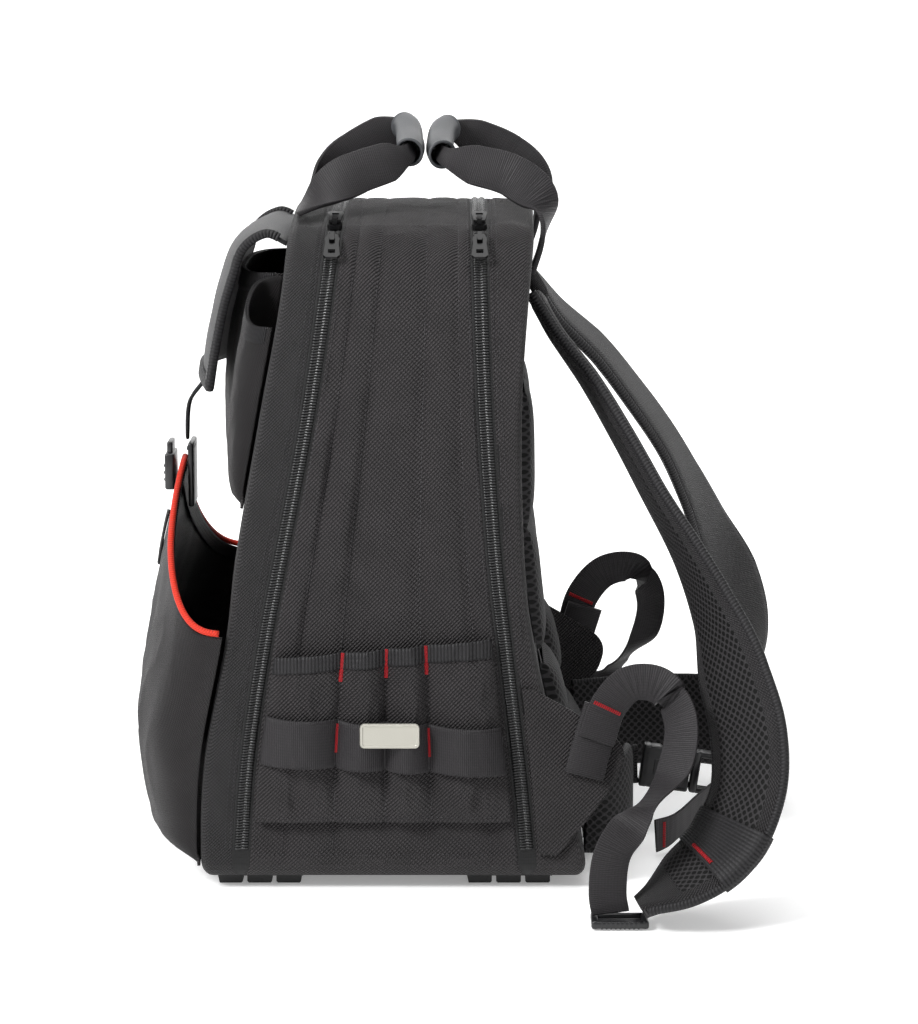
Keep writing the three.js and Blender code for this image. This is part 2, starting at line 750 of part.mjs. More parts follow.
// A smaller pocket: a wall round three sides of a piece of the front panel, open at the top
function pouchWall({ middle, width, depth, foot, top, swellTable }) {
  return (u, v) => {
    const angle = Math.PI * (u - 0.5);
    const share = Math.sign(Math.sin(angle)) * Math.abs(Math.sin(angle)) ** 0.75;
    const z = THREE.MathUtils.lerp(foot, top(share), v);
    const swell = readTable(swellTable, 'rise', 'swell', v) * Math.cos(angle) ** 0.6;
    return new THREE.Vector3(middle + (share * width) / 2, panelAt('front', z) - GAP - depth * swell, z);
  };
}

const UPPER_ROWS = UPPER_SWELL.map(({ rise }) => rise);

function buildUpperPockets() {
  addPiece('upper_pocket', sheetSolid({
    surface: pouchWall({
      middle: 0,
      width: UPPER_WIDTH,
      depth: UPPER_DEPTH,
      foot: UPPER_FOOT,
      top: () => UPPER_TOP,
      swellTable: UPPER_SWELL,
    }),
    columns: evenly(10), rows: UPPER_ROWS, thickness: CLOTH, fit: inFrontOfPanel(),
  }), FABRIC_COLOUR);
  const middle = UPPER_WIDTH / 2 + 2 * GAP + SIDE_UPPER_WIDTH / 2;
  [['right', 1], ['left', -1]].forEach(([side, way]) => {
    addPiece(`upper_side_pocket_${side}`, sheetSolid({
      surface: pouchWall({
        middle: way * middle,
        width: SIDE_UPPER_WIDTH,
        depth: SIDE_UPPER_DEPTH,
        foot: UPPER_FOOT,
        top: (share) => SIDE_UPPER_TOP - 14 * way * share,
        swellTable: UPPER_SWELL,
      }),
      columns: evenly(8), rows: UPPER_ROWS, thickness: CLOTH, fit: inFrontOfPanel(),
    }), FABRIC_COLOUR);
  });
}

// The flap: u runs across it, v from its seam to its free edge
function flapFace(u, v) {
  const along = readTable(FLAP_PATH, 'share', 'reach', v);
  const drop = readTable(FLAP_PATH, 'share', 'drop', v);
  const side = 2 * u - 1;
  const bow = 0.16 * FLAP_REACH * side * side * Math.min(2 * v, 1);
  const z = FLAP_ROOT_HEIGHT - drop * FLAP_DROP - 0.04 * FLAP_DROP * side * side * v;
  const root = panelAt('front', FLAP_ROOT_HEIGHT) - GAP;
  return new THREE.Vector3((side * FLAP_WIDTH) / 2, root - along * FLAP_REACH + bow, z);
}

const FLAP_COLUMNS = 8;
const FLAP_ROWS = 10;
const FLAP_PATH = FLAP_LINE.map((row, i) => ({ ...row, share: i / (FLAP_LINE.length - 1) }));

function buildFlap() {
  addPiece('flap', sheetSolid({
    surface: flapFace,
    columns: evenly(FLAP_COLUMNS),
    rows: evenly(FLAP_ROWS),
    thickness: FLAP_THICKNESS,
    side: -1,
    fit: inFrontOfPanel(),
  }), FABRIC_COLOUR);
  addPiece('flap_binding', loft(flapEdgeRings()), WEBBING_COLOUR);
}

// The binding lies on the flap's outer face, down one side, along the free edge and up the other
function flapEdgeRings() {
  const inward = FLAP_EDGE / FLAP_WIDTH;
  const up = FLAP_EDGE / (FLAP_DROP + FLAP_REACH);
  const side = evenly(FLAP_ROWS).slice(1, -1).map((v) => [0, inward, v, v]);
  const corner = [0, inward, 1, 1 - up];
  const end = evenly(FLAP_COLUMNS).slice(1, -1).map((u) => [u, u, 1, 1 - up]);
  const back = [...side, corner].reverse().map(([u, uIn, v, vIn]) => [1 - u, 1 - uIn, v, vIn]);
  return [...side, corner, ...end, ...back].map(([u, uIn, v, vIn]) => {
    const outward = (a, b, lift) => flapFace(a, b).addScaledVector(normalOf(flapFace, a, b), -lift);
    const base = 2 * GAP;
    const top = base + FLAP_EDGE_THICKNESS;
    return [outward(u, v, base), outward(uIn, vIn, base), outward(uIn, vIn, top), outward(u, v, top)];
  });
}

// The pocket's closing hardware and the elastic cord that holds the flap down

function buildFrontFastening() {
  const front = frontPocketWall(0.5, 1);
  const face = frontPocketWall(0.5, 0.94);
  const out = face.y - 1;
  const tongueY = front.y + CLOTH + BINDING_THICKNESS + TONGUE_THICKNESS / 2 + 3 * GAP;
  const buckle = joined(
    boxSolid(CATCH_WIDTH, CATCH_THICKNESS, CATCH_HEIGHT, 0, out - CATCH_THICKNESS / 2, front.z - 6),
    boxSolid(0.73 * CATCH_WIDTH, 4, 12, 0, out - CATCH_THICKNESS / 2, front.z + 9),
  );
  addPiece('front_buckle', buckle, PLASTIC_COLOUR, 0.5);
  addPiece('front_buckle_strap', strapOnPocket(0.86, 0.72), WEBBING_COLOUR);
  addPiece('front_pocket_tab', boxSolid(TONGUE_WIDTH, TONGUE_THICKNESS, TONGUE_LENGTH, 0, tongueY, front.z - 8),
    PLASTIC_COLOUR, 0.6);
  addPiece('elastic_cord', tubeSolid(cordPoints(front), CORD / 2, 6, 26), WEBBING_COLOUR);
}

function strapOnPocket(high, low) {
  return sheetSolid({
    surface: (u, v) => frontPocketWall(pocketShare((u - 0.5) * WEBBING_WIDTH), THREE.MathUtils.lerp(low, high, v)),
    columns: evenly(2),
    rows: evenly(3),
    thickness: WEBBING_THICKNESS,
    lift: WEBBING_THICKNESS + 2 * GAP,
  });
}

function cordPoints(hook) {
  const tip = flapFace(0.5, 1);
  const behind = tip.y + FLAP_THICKNESS + CORD / 2 + 4 * GAP;
  const route = [
    [1, behind, tip.z + 6],
    [1, behind, tip.z - 3],
    [0.85, THREE.MathUtils.lerp(behind, hook.y, 0.35), tip.z - 12],
    [0.6, THREE.MathUtils.lerp(behind, hook.y, 0.75), tip.z - 24],
    [0.3, hook.y + 3, hook.z + 20],
    [0, hook.y + 3, hook.z + 16.3],
  ];
  const side = (way) => route.map(([spread, y, z]) => new THREE.Vector3(way * spread * CORD_SPREAD, y, z));
  return [...side(1), ...side(-1).reverse().slice(1)];
}

// Side pockets between the zips, pleated into tool loops

function sidePocketTop(share) {
  return THREE.MathUtils.lerp(SIDE_POCKET_FRONT_HEIGHT, SIDE_POCKET_REAR_HEIGHT, share);
}

// The stitched lines across the pocket, as shares of its length
const PLEATS = [0, 0.31, 0.51, 0.69, 1];

function pleatSwell(share) {
  const next = PLEATS.findIndex((line, i) => i > 0 && share <= line + 1e-6);
  const local = (share - PLEATS[next - 1]) / (PLEATS[next] - PLEATS[next - 1]);
  return Math.max(Math.sin(Math.PI * local), 0) ** 0.7;
}

function pleatShare(u) {
  const place = Math.min(u * (PLEATS.length - 1), PLEATS.length - 1 - 1e-9);
  const row = Math.floor(place);
  return THREE.MathUtils.lerp(PLEATS[row], PLEATS[row + 1], place - row);
}

function onGussetSide(share, z, off, way) {
  const [front, rear] = [seamLine('frontZip', 1)(z) + 2, seamLine('rearZip', -1)(z) - 2];
  const y = THREE.MathUtils.lerp(front, rear, share);
  return new THREE.Vector3(way * (sideAt(z) + CHANNEL_DEPTH + GAP + off), y, z);
}

function sidePocketWall(way) {
  return (u, v) => {
    const share = pleatShare(u);
    const z = THREE.MathUtils.lerp(SIDE_POCKET_FOOT, sidePocketTop(share), v);
    const fullness = Math.sin(Math.PI * (0.08 + 0.72 * v));
    return onGussetSide(share, z, CLOTH + SIDE_POCKET_SWELL * pleatSwell(share) * fullness, way);
  };
}

function loopBandWall(way) {
  return (u, v) => {
    const share = pleatShare(u);
    const middle = LOOP_BAND_MIDDLE - 8 * share;
    const z = middle + (v - 0.5) * LOOP_BAND;
    const pocket = sidePocketWall(way)(u, (z - SIDE_POCKET_FOOT) / (sidePocketTop(share) - SIDE_POCKET_FOOT));
    const off = LOOP_BAND_THICKNESS + 2 * GAP + LOOP_BAND_SWELL * pleatSwell(share);
    return new THREE.Vector3(pocket.x + way * off, pocket.y, z);
  };
}

function outsideGusset(way) {
  return (point) => {
    const least = sideAt(point.z) + CHANNEL_DEPTH + GAP;
    point.x = way * Math.max(way * point.x, least);
    return point;
  };
}

function buildSidePockets() {
  [['right', 1], ['left', -1]].forEach(([side, way]) => {
    addPiece(`side_pocket_${side}`, sheetSolid({
      surface: sidePocketWall(way),
      columns: evenly(16),
      rows: evenly(5),
      thickness: CLOTH,
      side: way,
      fit: outsideGusset(way),
    }), FABRIC_COLOUR);
    addPiece(`side_loop_band_${side}`, sheetSolid({
      surface: loopBandWall(way), columns: evenly(16), rows: [0, 1], thickness: LOOP_BAND_THICKNESS, side: way,
    }), WEBBING_COLOUR);
  });
  addPiece('side_plate', sidePlate(), STEEL_COLOUR, 0.35, 0.8);
}

// A plain metal plate with rounded corners on the right side's middle loop
function sidePlate() {
  const band = loopBandWall(1);
  const centre = onGussetSide(PLATE_PLACE, LOOP_BAND_MIDDLE + PLATE_HEIGHT / 3, 0, 1);
  const radius = 3;
  const shape = new THREE.Shape();
  const [w, h] = [PLATE_LENGTH / 2, PLATE_HEIGHT / 2];
  shape.moveTo(-w + radius, -h);
  shape.lineTo(w - radius, -h);
  shape.lineTo(w, -h + radius);
  shape.lineTo(w, h - radius);
  shape.lineTo(w - radius, h);
  shape.lineTo(-w + radius, h);
  shape.lineTo(-w, h - radius);
  shape.lineTo(-w, -h + radius);
  shape.closePath();
  const plate = new THREE.ExtrudeGeometry(shape, { depth: PLATE_THICKNESS, bevelEnabled: false });
  plate.rotateX(Math.PI / 2);
  plate.rotateZ(Math.PI / 2);
  const behind = evenly(16).flatMap((u) => [band(u, 0), band(u, 1)])
    .filter(({ y }) => Math.abs(y - centre.y) < w + 3);
  plate.translate(Math.max(...behind.map(({ x }) => x)) + GAP, centre.y, centre.z);
  return weld(plate);
}

// Back pads of padded mesh on the rear panel: a row for each bulge, with places as shares of
// half the top width and of the height, and with thickness as a share of the pads' own
const BACK_PADS = {
  back_pad: [
    { inner: 0.08, outer: 0.76, low: 0.345, high: 0.530, thick: 1.1 },
    { inner: 0.08, outer: 0.74, low: 0.530, high: 0.735, thick: 1.0 },
  ],
  back_pad_lower: [
    { inner: 0.30, outer: 0.84, low: 0.215, high: 0.330, thick: 1.3 },
  ],
  lumbar_pad: [
    { inner: -0.62, outer: 0.62, low: 0.035, high: 0.200, thick: 1.9 },
  ],
};
const PAD_RIM = 0.22;

function padSolid(bulges, way, columns) {
  const half = TOP_WIDTH / 2;
  const front = [];
  const behind = [];
  bulges.forEach(({ inner, outer, low, high, thick }, order) => {
    const rows = rowsBetween(low * BODY_HEIGHT, high * BODY_HEIGHT).slice(order === 0 ? 0 : 1);
    rows.forEach((z) => {
      const rise = (2 * (z / BODY_HEIGHT - low)) / (high - low) - 1;
      columns.forEach((u) => {
        const side = 2 * u - 1;
        const dome = Math.sqrt(Math.max((1 - Math.abs(side) ** 3) * (1 - Math.abs(rise) ** 3), 0));
        const x = way * half * THREE.MathUtils.lerp(inner, outer, 0.5 + side * (0.5 - 0.04 * rise ** 4));
        const y = panelAt('back', z) + GAP;
        front.push(new THREE.Vector3(x, y + thick * BACK_PAD_THICKNESS * (PAD_RIM + (1 - PAD_RIM) * dome), z));
        behind.push(new THREE.Vector3(x, y, z));
      });
    });
  });
  return closeGrids(front, behind, columns.length - 1, front.length / columns.length - 1);
}

function buildBackPads() {
  ['back_pad', 'back_pad_lower'].forEach((name) => {
    [['right', 1], ['left', -1]].forEach(([side, way]) => {
      addPiece(`${name}_${side}`, padSolid(BACK_PADS[name], way, evenly(6)), MESH_COLOUR);
    });
  });
  addPiece('lumbar_pad', padSolid(BACK_PADS.lumbar_pad, 1, evenly(8)), MESH_COLOUR);
}

// Carry handles: rows run from the right base over the grip to the left base
const FRONT_HANDLE = [
  { x: 0.455, y: -0.420, z: 0.9947, lean: [1, 0, 0], width: 0.9 },
  { x: 0.45, y: -0.390, z: 1.010, lean: [0.9, 0.2, -0.2], width: 0.95 },
  { x: 0.435, y: -0.330, z: 1.037, lean: [0.4, 0.5, -0.6] },
  { x: 0.41, y: -0.260, z: 1.056, lean: [0.1, 0.6, -0.8] },
  { x: 0.38, y: -0.185, z: 1.070, lean: [0, 0.7, -0.7], width: 0.95 },
  { x: 0.33, y: -0.138, z: 1.080, lean: [0, 0.5, -0.8], width: 0.45 },
  { x: 0.00, y: -0.132, z: 1.094, lean: [0, 0.3, -0.9], width: 0.45 },
  { x: -0.33, y: -0.156, z: 1.108, lean: [0, 0.5, -0.8], width: 0.45 },
  { x: -0.38, y: -0.210, z: 1.094, lean: [0, 0.7, -0.7], width: 0.95 },
  { x: -0.41, y: -0.285, z: 1.068, lean: [-0.1, 0.6, -0.8] },
  { x: -0.435, y: -0.345, z: 1.040, lean: [-0.4, 0.5, -0.6] },
  { x: -0.45, y: -0.392, z: 1.011, lean: [-0.9, 0.2, -0.2], width: 0.95 },
  { x: -0.455, y: -0.420, z: 0.9947, lean: [-1, 0, 0], width: 0.9 },
];
const REAR_HANDLE = [
  { x: 0.50, y: 0.190, z: 0.908, lean: [1, 0, 0], width: 0.9 },
  { x: 0.50, y: 0.215, z: 0.955, lean: [1, 0, 0.1], width: 0.95 },
  { x: 0.48, y: 0.220, z: 1.010, lean: [0.7, -0.4, -0.5] },
  { x: 0.44, y: 0.140, z: 1.050, lean: [0.1, -0.6, -0.8] },
  { x: 0.39, y: 0.040, z: 1.066, lean: [0, -0.7, -0.7], width: 0.95 },
  { x: 0.33, y: -0.032, z: 1.076, lean: [0, -0.5, -0.8], width: 0.45 },
  { x: 0.00, y: -0.050, z: 1.090, lean: [0, -0.3, -0.9], width: 0.45 },
  { x: -0.33, y: -0.024, z: 1.104, lean: [0, -0.5, -0.8], width: 0.45 },
  { x: -0.39, y: 0.048, z: 1.088, lean: [0, -0.7, -0.7], width: 0.95 },
  { x: -0.44, y: 0.145, z: 1.060, lean: [-0.1, -0.6, -0.8] },
  { x: -0.48, y: 0.220, z: 1.012, lean: [-0.7, -0.4, -0.5] },
  { x: -0.50, y: 0.215, z: 0.955, lean: [-1, 0, 0.1], width: 0.95 },
  { x: -0.50, y: 0.190, z: 0.908, lean: [-1, 0, 0], width: 0.9 },
];

const GRIP_STEPS = 6;
const GRIP_SECTION = [];
for (let i = 0; i < 8; i += 1) {
  const angle = (Math.PI * (2 * i + 1)) / 8;
  GRIP_SECTION.push([Math.cos(angle) / 2, Math.sin(angle) / 2]);
}

function buildHandles() {
  [['front', FRONT_HANDLE], ['rear', REAR_HANDLE]].forEach(([name, table]) => {
    const route = routeOf(table);
    addPiece(`${name}_handle_strap`, strapSolid(route, {
      width: HANDLE_WIDTH, thickness: HANDLE_THICKNESS, steps: 36,
    }), WEBBING_COLOUR);
    addPiece(`${name}_handle_grip`, gripSolid(route), GRIP_COLOUR, 0.6);
  });
}

// A rubber tube round the middle of a handle
function gripSolid(route) {
  const tube = { ...route, scale: { getPoint: () => new THREE.Vector3(1, 1, 0) } };
  const reach = GRIP_LENGTH / (2 * route.place.getLength());
  const outer = [];
  const inner = [];
  evenly(GRIP_STEPS, 0.5 - reach, 0.5 + reach).forEach((part) => {
    const share = route.place.getUtoTmapping(part);
    outer.push(sectionAt(tube, share, GRIP_SECTION, 2 * GRIP_RADIUS, 2 * GRIP_RADIUS));
    const bore = 2 * (GRIP_RADIUS - GRIP_WALL);
    inner.unshift(sectionAt(tube, share, GRIP_SECTION, bore, bore));
  });
  return loft([...outer, ...inner], { looped: true });
}

// Shoulder straps, from the top of the back down to the floor
const STRAP_REST = LOCK_THICKNESS + PAD_THICKNESS / 2 + 3 * GAP;
const RIGHT_STRAP = [
  { x: 0.325, y: 0.206, z: 0.862, lean: [1, 0, 0] },
  { x: 0.370, y: 0.252, z: 0.815, lean: [1, 0.05, 0.05] },
  { x: 0.480, y: 0.347, z: 0.740, lean: [0.98, 0.10, 0.10] },
  { x: 0.600, y: 0.428, z: 0.665, lean: [0.98, 0.12, 0.12] },
  { x: 0.740, y: 0.512, z: 0.580, lean: [0.97, 0.14, 0.14] },
  { x: 0.880, y: 0.588, z: 0.505, lean: [0.94, 0.20, 0.20] },
  { x: 1.020, y: 0.652, z: 0.425, lean: [0.88, 0.34, 0.26] },
  { x: 1.150, y: 0.695, z: 0.345, lean: [0.75, 0.6, 0.25] },
  { x: 1.260, y: 0.730, z: 0.265, lean: [0.7, 0.65, 0.2] },
  { x: 1.350, y: 0.725, z: 0.185, lean: [0.7, 0.6, 0.1] },
  { x: 1.410, y: 0.660, z: 0.085, above: 12, lean: [0.8, 0.4, -0.2] },
  { x: 1.450, y: 0.560, z: 0.035, above: 14, lean: [0.85, 0.1, -0.3], width: 0.9 },
  { x: 1.470, y: 0.455, z: 0, above: STRAP_REST, lean: [1, 0, 0], width: 0.5 },
];
const LEFT_STRAP = [
  { x: 0.325, y: 0.2085, z: 0.862, lean: [1, 0, 0] },
  { x: 0.380, y: 0.272, z: 0.815, lean: [1, 0.05, 0.05] },
  { x: 0.480, y: 0.394, z: 0.745, lean: [0.98, 0.10, 0.10] },
  { x: 0.580, y: 0.494, z: 0.670, lean: [0.98, 0.12, 0.12] },
  { x: 0.700, y: 0.588, z: 0.590, lean: [0.97, 0.14, 0.14] },
  { x: 0.820, y: 0.665, z: 0.505, lean: [0.94, 0.20, 0.20] },
  { x: 0.960, y: 0.738, z: 0.410, lean: [0.88, 0.34, 0.26] },
  { x: 1.100, y: 0.810, z: 0.310, lean: [0.75, 0.6, 0.25] },
  { x: 1.230, y: 0.845, z: 0.215, lean: [0.7, 0.65, 0.2] },
  { x: 1.340, y: 0.830, z: 0.110, above: 8, lean: [0.75, 0.5, 0] },
  { x: 1.410, y: 0.740, z: 0.040, above: 12, lean: [0.9, 0.2, -0.1] },
  { x: 1.450, y: 0.610, z: 0.010, above: 14, lean: [0.98, 0, -0.05], width: 0.9 },
  { x: 1.470, y: 0.500, z: 0, above: STRAP_REST, lean: [1, 0, 0], width: 0.5 },
];

// Adjusting webbing, from the tab on the wing over a loop down to the ladder lock
const WEBBING_REST = LOCK_THICKNESS + 3 * GAP + 1.8;
const RIGHT_WEBBING = [
  { x: 1.0415, y: 0.352, z: 0.235, lean: [0, 0.9, -0.4] },
  { x: 1.0395, y: 0.385, z: 0.290, lean: [0, 0.9, -0.4] },
  { x: 1.070, y: 0.440, z: 0.325, lean: [0.1, 0.7, -0.7] },
  { x: 1.130, y: 0.515, z: 0.325, lean: [0.4, 0.3, -0.9] },
  { x: 1.220, y: 0.560, z: 0.285, lean: [0.3, 0.7, 0.4] },
  { x: 1.340, y: 0.540, z: 0.220, lean: [0, 0.8, 0.5] },
  { x: 1.470, y: 0.450, z: 0.165, lean: [-0.1, 0.7, 0.6] },
  { x: 1.510, y: 0.385, z: 0.115, lean: [-0.1, 0.95, 0.2] },
  { x: 1.490, y: 0.372, z: 0.050, lean: [0, 1, 0] },
  { x: 1.470, y: 0.380, z: 0, above: WEBBING_REST, lean: [0, 1, 0] },
];
const LEFT_WEBBING = [
  { x: 1.038, y: 0.335, z: 0.240, lean: [0, 0.9, -0.4] },
  { x: 1.036, y: 0.365, z: 0.300, lean: [0, 0.9, -0.4] },
  { x: 1.060, y: 0.430, z: 0.340, lean: [0.1, 0.7, -0.7] },
  { x: 1.110, y: 0.515, z: 0.342, lean: [0.4, 0.3, -0.9] },
  { x: 1.190, y: 0.570, z: 0.290, lean: [0.3, 0.7, 0.4] },
  { x: 1.290, y: 0.555, z: 0.210, lean: [0, 0.8, 0.5] },
  { x: 1.420, y: 0.480, z: 0.150, lean: [-0.1, 0.7, 0.6] },
  { x: 1.500, y: 0.420, z: 0.100, lean: [-0.1, 0.95, 0.2] },
  { x: 1.490, y: 0.415, z: 0.045, lean: [0, 1, 0] },
  { x: 1.470, y: 0.425, z: 0, above: WEBBING_REST + 0.8, lean: [0, 1, 0] },
];
const TAB_FOLD = [
  { x: 1.0212, y: 0.322, z: 0.180, lean: [0, 0.9, -0.4] },
  { x: 1.0171, y: 0.345, z: 0.232, lean: [0, 0.9, -0.4] },
  { x: 1.0128, y: 0.372, z: 0.284, lean: [0, 0.9, -0.4] },
];
const STRAP_STEPS = 24;

function buildShoulderStraps() {
  const sides = [
    ['right', 1, RIGHT_STRAP, RIGHT_WEBBING, [19, 21]],
    ['left', -1, LEFT_STRAP, LEFT_WEBBING, [19, 21]],
  ];
  sides.forEach(([side, way, strapTable, webbingTable, keeper]) => {
    const strap = routeOf(strapTable, way);
    const pad = { width: PAD_WIDTH, thickness: PAD_THICKNESS, section: PAD_SECTION };
    addPiece(`shoulder_pad_${side}`, strapSolid(strap, { ...pad, steps: STRAP_STEPS }), FABRIC_COLOUR);
    addPiece(`strap_keeper_${side}`, sleeveSolid(strap, {
      ...pad, wall: WEBBING_THICKNESS, steps: STRAP_STEPS, first: keeper[0], last: keeper[1],
    }), WEBBING_COLOUR);
    const webbing = routeOf(webbingTable, way);
    addPiece(`lower_webbing_${side}`, strapSolid(webbing, {
      width: WEBBING_WIDTH, thickness: WEBBING_THICKNESS, steps: STRAP_STEPS,
    }), WEBBING_COLOUR);
    addPiece(`ladder_lock_${side}`, lockSolid(webbing, strap), PLASTIC_COLOUR, 0.45);
    addPiece(`anchor_tab_${side}`, strapSolid(routeOf(TAB_FOLD, way), {
      width: TAB_FOLD_WIDTH, thickness: TAB_FOLD_THICKNESS, steps: 4,
    }), WEBBING_COLOUR);
    addPiece(`side_wing_${side}`, sheetSolid({
      surface: wingFace(way), columns: evenly(4), rows: evenly(6), thickness: CLOTH, side: way,
    }), WEBBING_COLOUR);
  });
}

// A ladder lock lying flat under the ends of its webbing and its strap
function lockSolid(webbing, strap) {
  const [low, high] = [webbing.place.getPoint(1), strap.place.getPoint(1)];
  const middle = (low.y - WEBBING_WIDTH / 2 + high.y) / 2 + LOCK_BAR / 2;
  const z = LOCK_THICKNESS / 2 + GAP;
  const frame = boxSolid(LOCK_WIDTH, LOCK_LENGTH, LOCK_THICKNESS, low.x, middle, z);
  const opening = (LOCK_WIDTH - 3 * LOCK_BAR) / 2;
  const slots = [-1, 1].map((way) => (
    boxSolid(opening, LOCK_LENGTH - 2 * LOCK_BAR, 2 * LOCK_THICKNESS, low.x + way * (LOCK_BAR + opening) / 2,
      middle, z)));
  return cut(frame, ...slots);
}

// The wing that carries the anchor tab: u runs from the rear zip to its free edge, v up its height
const WING_EDGE = [
  { rise: 0.00, reach: 0.20 },
  { rise: 0.25, reach: 0.62 },
  { rise: 0.50, reach: 0.97 },
  { rise: 0.68, reach: 1.00 },
  { rise: 0.86, reach: 0.55 },
  { rise: 1.00, reach: 0.12 },
];

function wingFace(way) {
  return (u, v) => {
    const z = THREE.MathUtils.lerp(WING_FOOT, WING_TOP, v);
    const start = profileAt('rearZip', z) + ZIP_WIDTH / 2 + 2;
    const y = start + u * WING_REACH * readTable(WING_EDGE, 'rise', 'reach', v);
    return new THREE.Vector3(way * (sideAt(z) + GAP + CLOTH), y, z);
  };
}

// Waist belt: two padded ends, the buckle between them and the webbing that runs through it
const RIGHT_BELT = [
  { x: 0.700, y: 0.336, z: 0.105, lean: [0, 0, 1] },
  { x: 0.690, y: 0.385, z: 0.104, lean: [0, 0, 1] },
  { x: 0.600, y: 0.430, z: 0.102, lean: [0, 0, 1] },
  { x: 0.440, y: 0.452, z: 0.100, lean: [0, 0, 1] },
  { x: 0.280, y: 0.455, z: 0.100, lean: [0, 0, 1], width: 0.7, thick: 0.8 },
  { x: 0.140, y: 0.452, z: 0.102, lean: [0, 0, 1], width: 0.42, thick: 0.3 },
  { x: 0.060, y: 0.463, z: 0.105, lean: [0, 0, 1], width: 0.38, thick: 0.25 },
  { x: 0.030, y: 0.492, z: 0.106, lean: [0, 0, 1], width: 0.38, thick: 0.25 },
];
const LEFT_BELT = [
  { x: 0.700, y: 0.329, z: 0.105, lean: [0, 0, 1] },
  { x: 0.760, y: 0.500, z: 0.108, lean: [0, 0, 1] },
  { x: 0.740, y: 0.680, z: 0.112, lean: [0, 0, 1] },
  { x: 0.600, y: 0.820, z: 0.115, lean: [0, 0, 1] },
  { x: 0.380, y: 0.885, z: 0.115, lean: [0, 0, 1], width: 0.9 },
  { x: 0.180, y: 0.885, z: 0.112, lean: [0, 0, 1], width: 0.6, thick: 0.6 },
];
const BELT_WEBBING = [
  { x: -0.163, y: 0.885, z: 0.112, lean: [0, 0, 1] },
  { x: -0.050, y: 0.870, z: 0.104, lean: [0, 0, 1] },
  { x: 0.030, y: 0.4920, beyond: BUCKLE_LENGTH + BUCKLE_SEAT + 20, z: 0.096, lean: [0, 0, 1] },
  { x: 0.050, y: 0.4920, beyond: BUCKLE_LENGTH + BUCKLE_SEAT + 5, z: 0.090, lean: [0, 0, 1] },
  { x: 0.100, y: 0.745, z: 0.086, lean: [0, 0, 1] },
  { x: 0.200, y: 0.710, z: 0.076, lean: [0, 0.2, 1] },
  { x: 0.320, y: 0.640, z: 0.056, lean: [0, 0.3, 1] },
  { x: 0.430, y: 0.570, z: 0.036, lean: [0, 0.3, 1] },
  { x: 0.480, y: 0.530, z: 0.032, lean: [0, 0.1, 1] },
];

function buildBelt() {
  const pad = { width: BELT_PAD_HEIGHT, thickness: BELT_PAD_THICKNESS, section: PAD_SECTION };
  addPiece('hip_belt_right', strapSolid(routeOf(RIGHT_BELT), { ...pad, steps: 14 }), MESH_COLOUR);
  addPiece('hip_belt_left', strapSolid(routeOf(LEFT_BELT, -1), { ...pad, steps: 12 }), MESH_COLOUR);
  addPiece('belt_webbing', strapSolid(routeOf(BELT_WEBBING), {
    width: WEBBING_WIDTH, thickness: WEBBING_THICKNESS, steps: 24,
  }), WEBBING_COLOUR);
  const end = routeOf(RIGHT_BELT).place.getPoint(1);
  const place = new THREE.Vector3(end.x, end.y + BUCKLE_SEAT, end.z);
  Object.entries({ belt_buckle_socket: socketSolid(), belt_buckle_clip: clipSolid() })
    .forEach(([name, geometry]) => {
      const mesh = addPiece(name, geometry, PLASTIC_COLOUR, 0.45);
      mesh.position.copy(place);
      mesh.rotation.x = THREE.MathUtils.degToRad(-BUCKLE_TILT);
    });
}

// Both buckle halves run along +Y from the belt's end; the clip's prongs sit in the socket
const SOCKET_LENGTH = BUCKLE_LENGTH * 0.58;
const PRONG_LENGTH = SOCKET_LENGTH * 0.7;

function socketSolid() {
  const body = boxSolid(BUCKLE_THICKNESS, SOCKET_LENGTH, BUCKLE_HEIGHT, 0, SOCKET_LENGTH / 2, 0);
  const room = PRONG_LENGTH + BUCKLE_WALL;
  const cavity = boxSolid(BUCKLE_THICKNESS - 2 * BUCKLE_WALL, room, BUCKLE_HEIGHT - 2 * BUCKLE_WALL,
    0, SOCKET_LENGTH - room / 2 + 1, 0);
  const window = boxSolid(BUCKLE_THICKNESS - 2 * BUCKLE_WALL, PRONG_LENGTH * 0.5, 2 * BUCKLE_HEIGHT,
    0, SOCKET_LENGTH - PRONG_LENGTH * 0.62, 0);
  return cut(body, cavity, window);
}

function clipSolid() {
  const start = SOCKET_LENGTH + GAP;
  const length = BUCKLE_LENGTH - start;
  const body = boxSolid(BUCKLE_THICKNESS, length, BUCKLE_HEIGHT, 0, start + length / 2, 0);
  const bay = boxSolid(2 * BUCKLE_THICKNESS, length - 3 * LOCK_BAR, BUCKLE_HEIGHT - 2 * LOCK_BAR,
    0, start + length / 2 + LOCK_BAR / 2, 0);
  const prong = (z) => boxSolid(BUCKLE_THICKNESS - 2 * BUCKLE_WALL - 2 * GAP, PRONG_LENGTH, 5,
    0, start - PRONG_LENGTH / 2 + 0.5, z);
  const reach = BUCKLE_HEIGHT / 2 - BUCKLE_WALL - GAP - 2.5;
  return joined(cut(body, bay), prong(reach), prong(0), prong(-reach));
}

buildBody();
buildSliders();
buildFeet();
buildFrontPocket();
buildUpperPockets();
buildFlap();
buildFrontFastening();
buildSidePockets();
buildBackPads();
buildHandles();
buildShoulderStraps();
buildBelt();

// The frame's origin is the middle of the underside of the whole bag's box
const outline = new THREE.Box3().setFromObject(backpack, true);
const centre = outline.getCenter(new THREE.Vector3());
backpack.position.set(-centre.x, -centre.y, -outline.min.z);
backpack.updateMatrixWorld(true);

export default backpack;
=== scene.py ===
"""The looks of the tool backpack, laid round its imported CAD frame.

Sizes are millimetres or shares of the body's sizes, unless a comment says otherwise. Meshes are
built in metres."""
import math

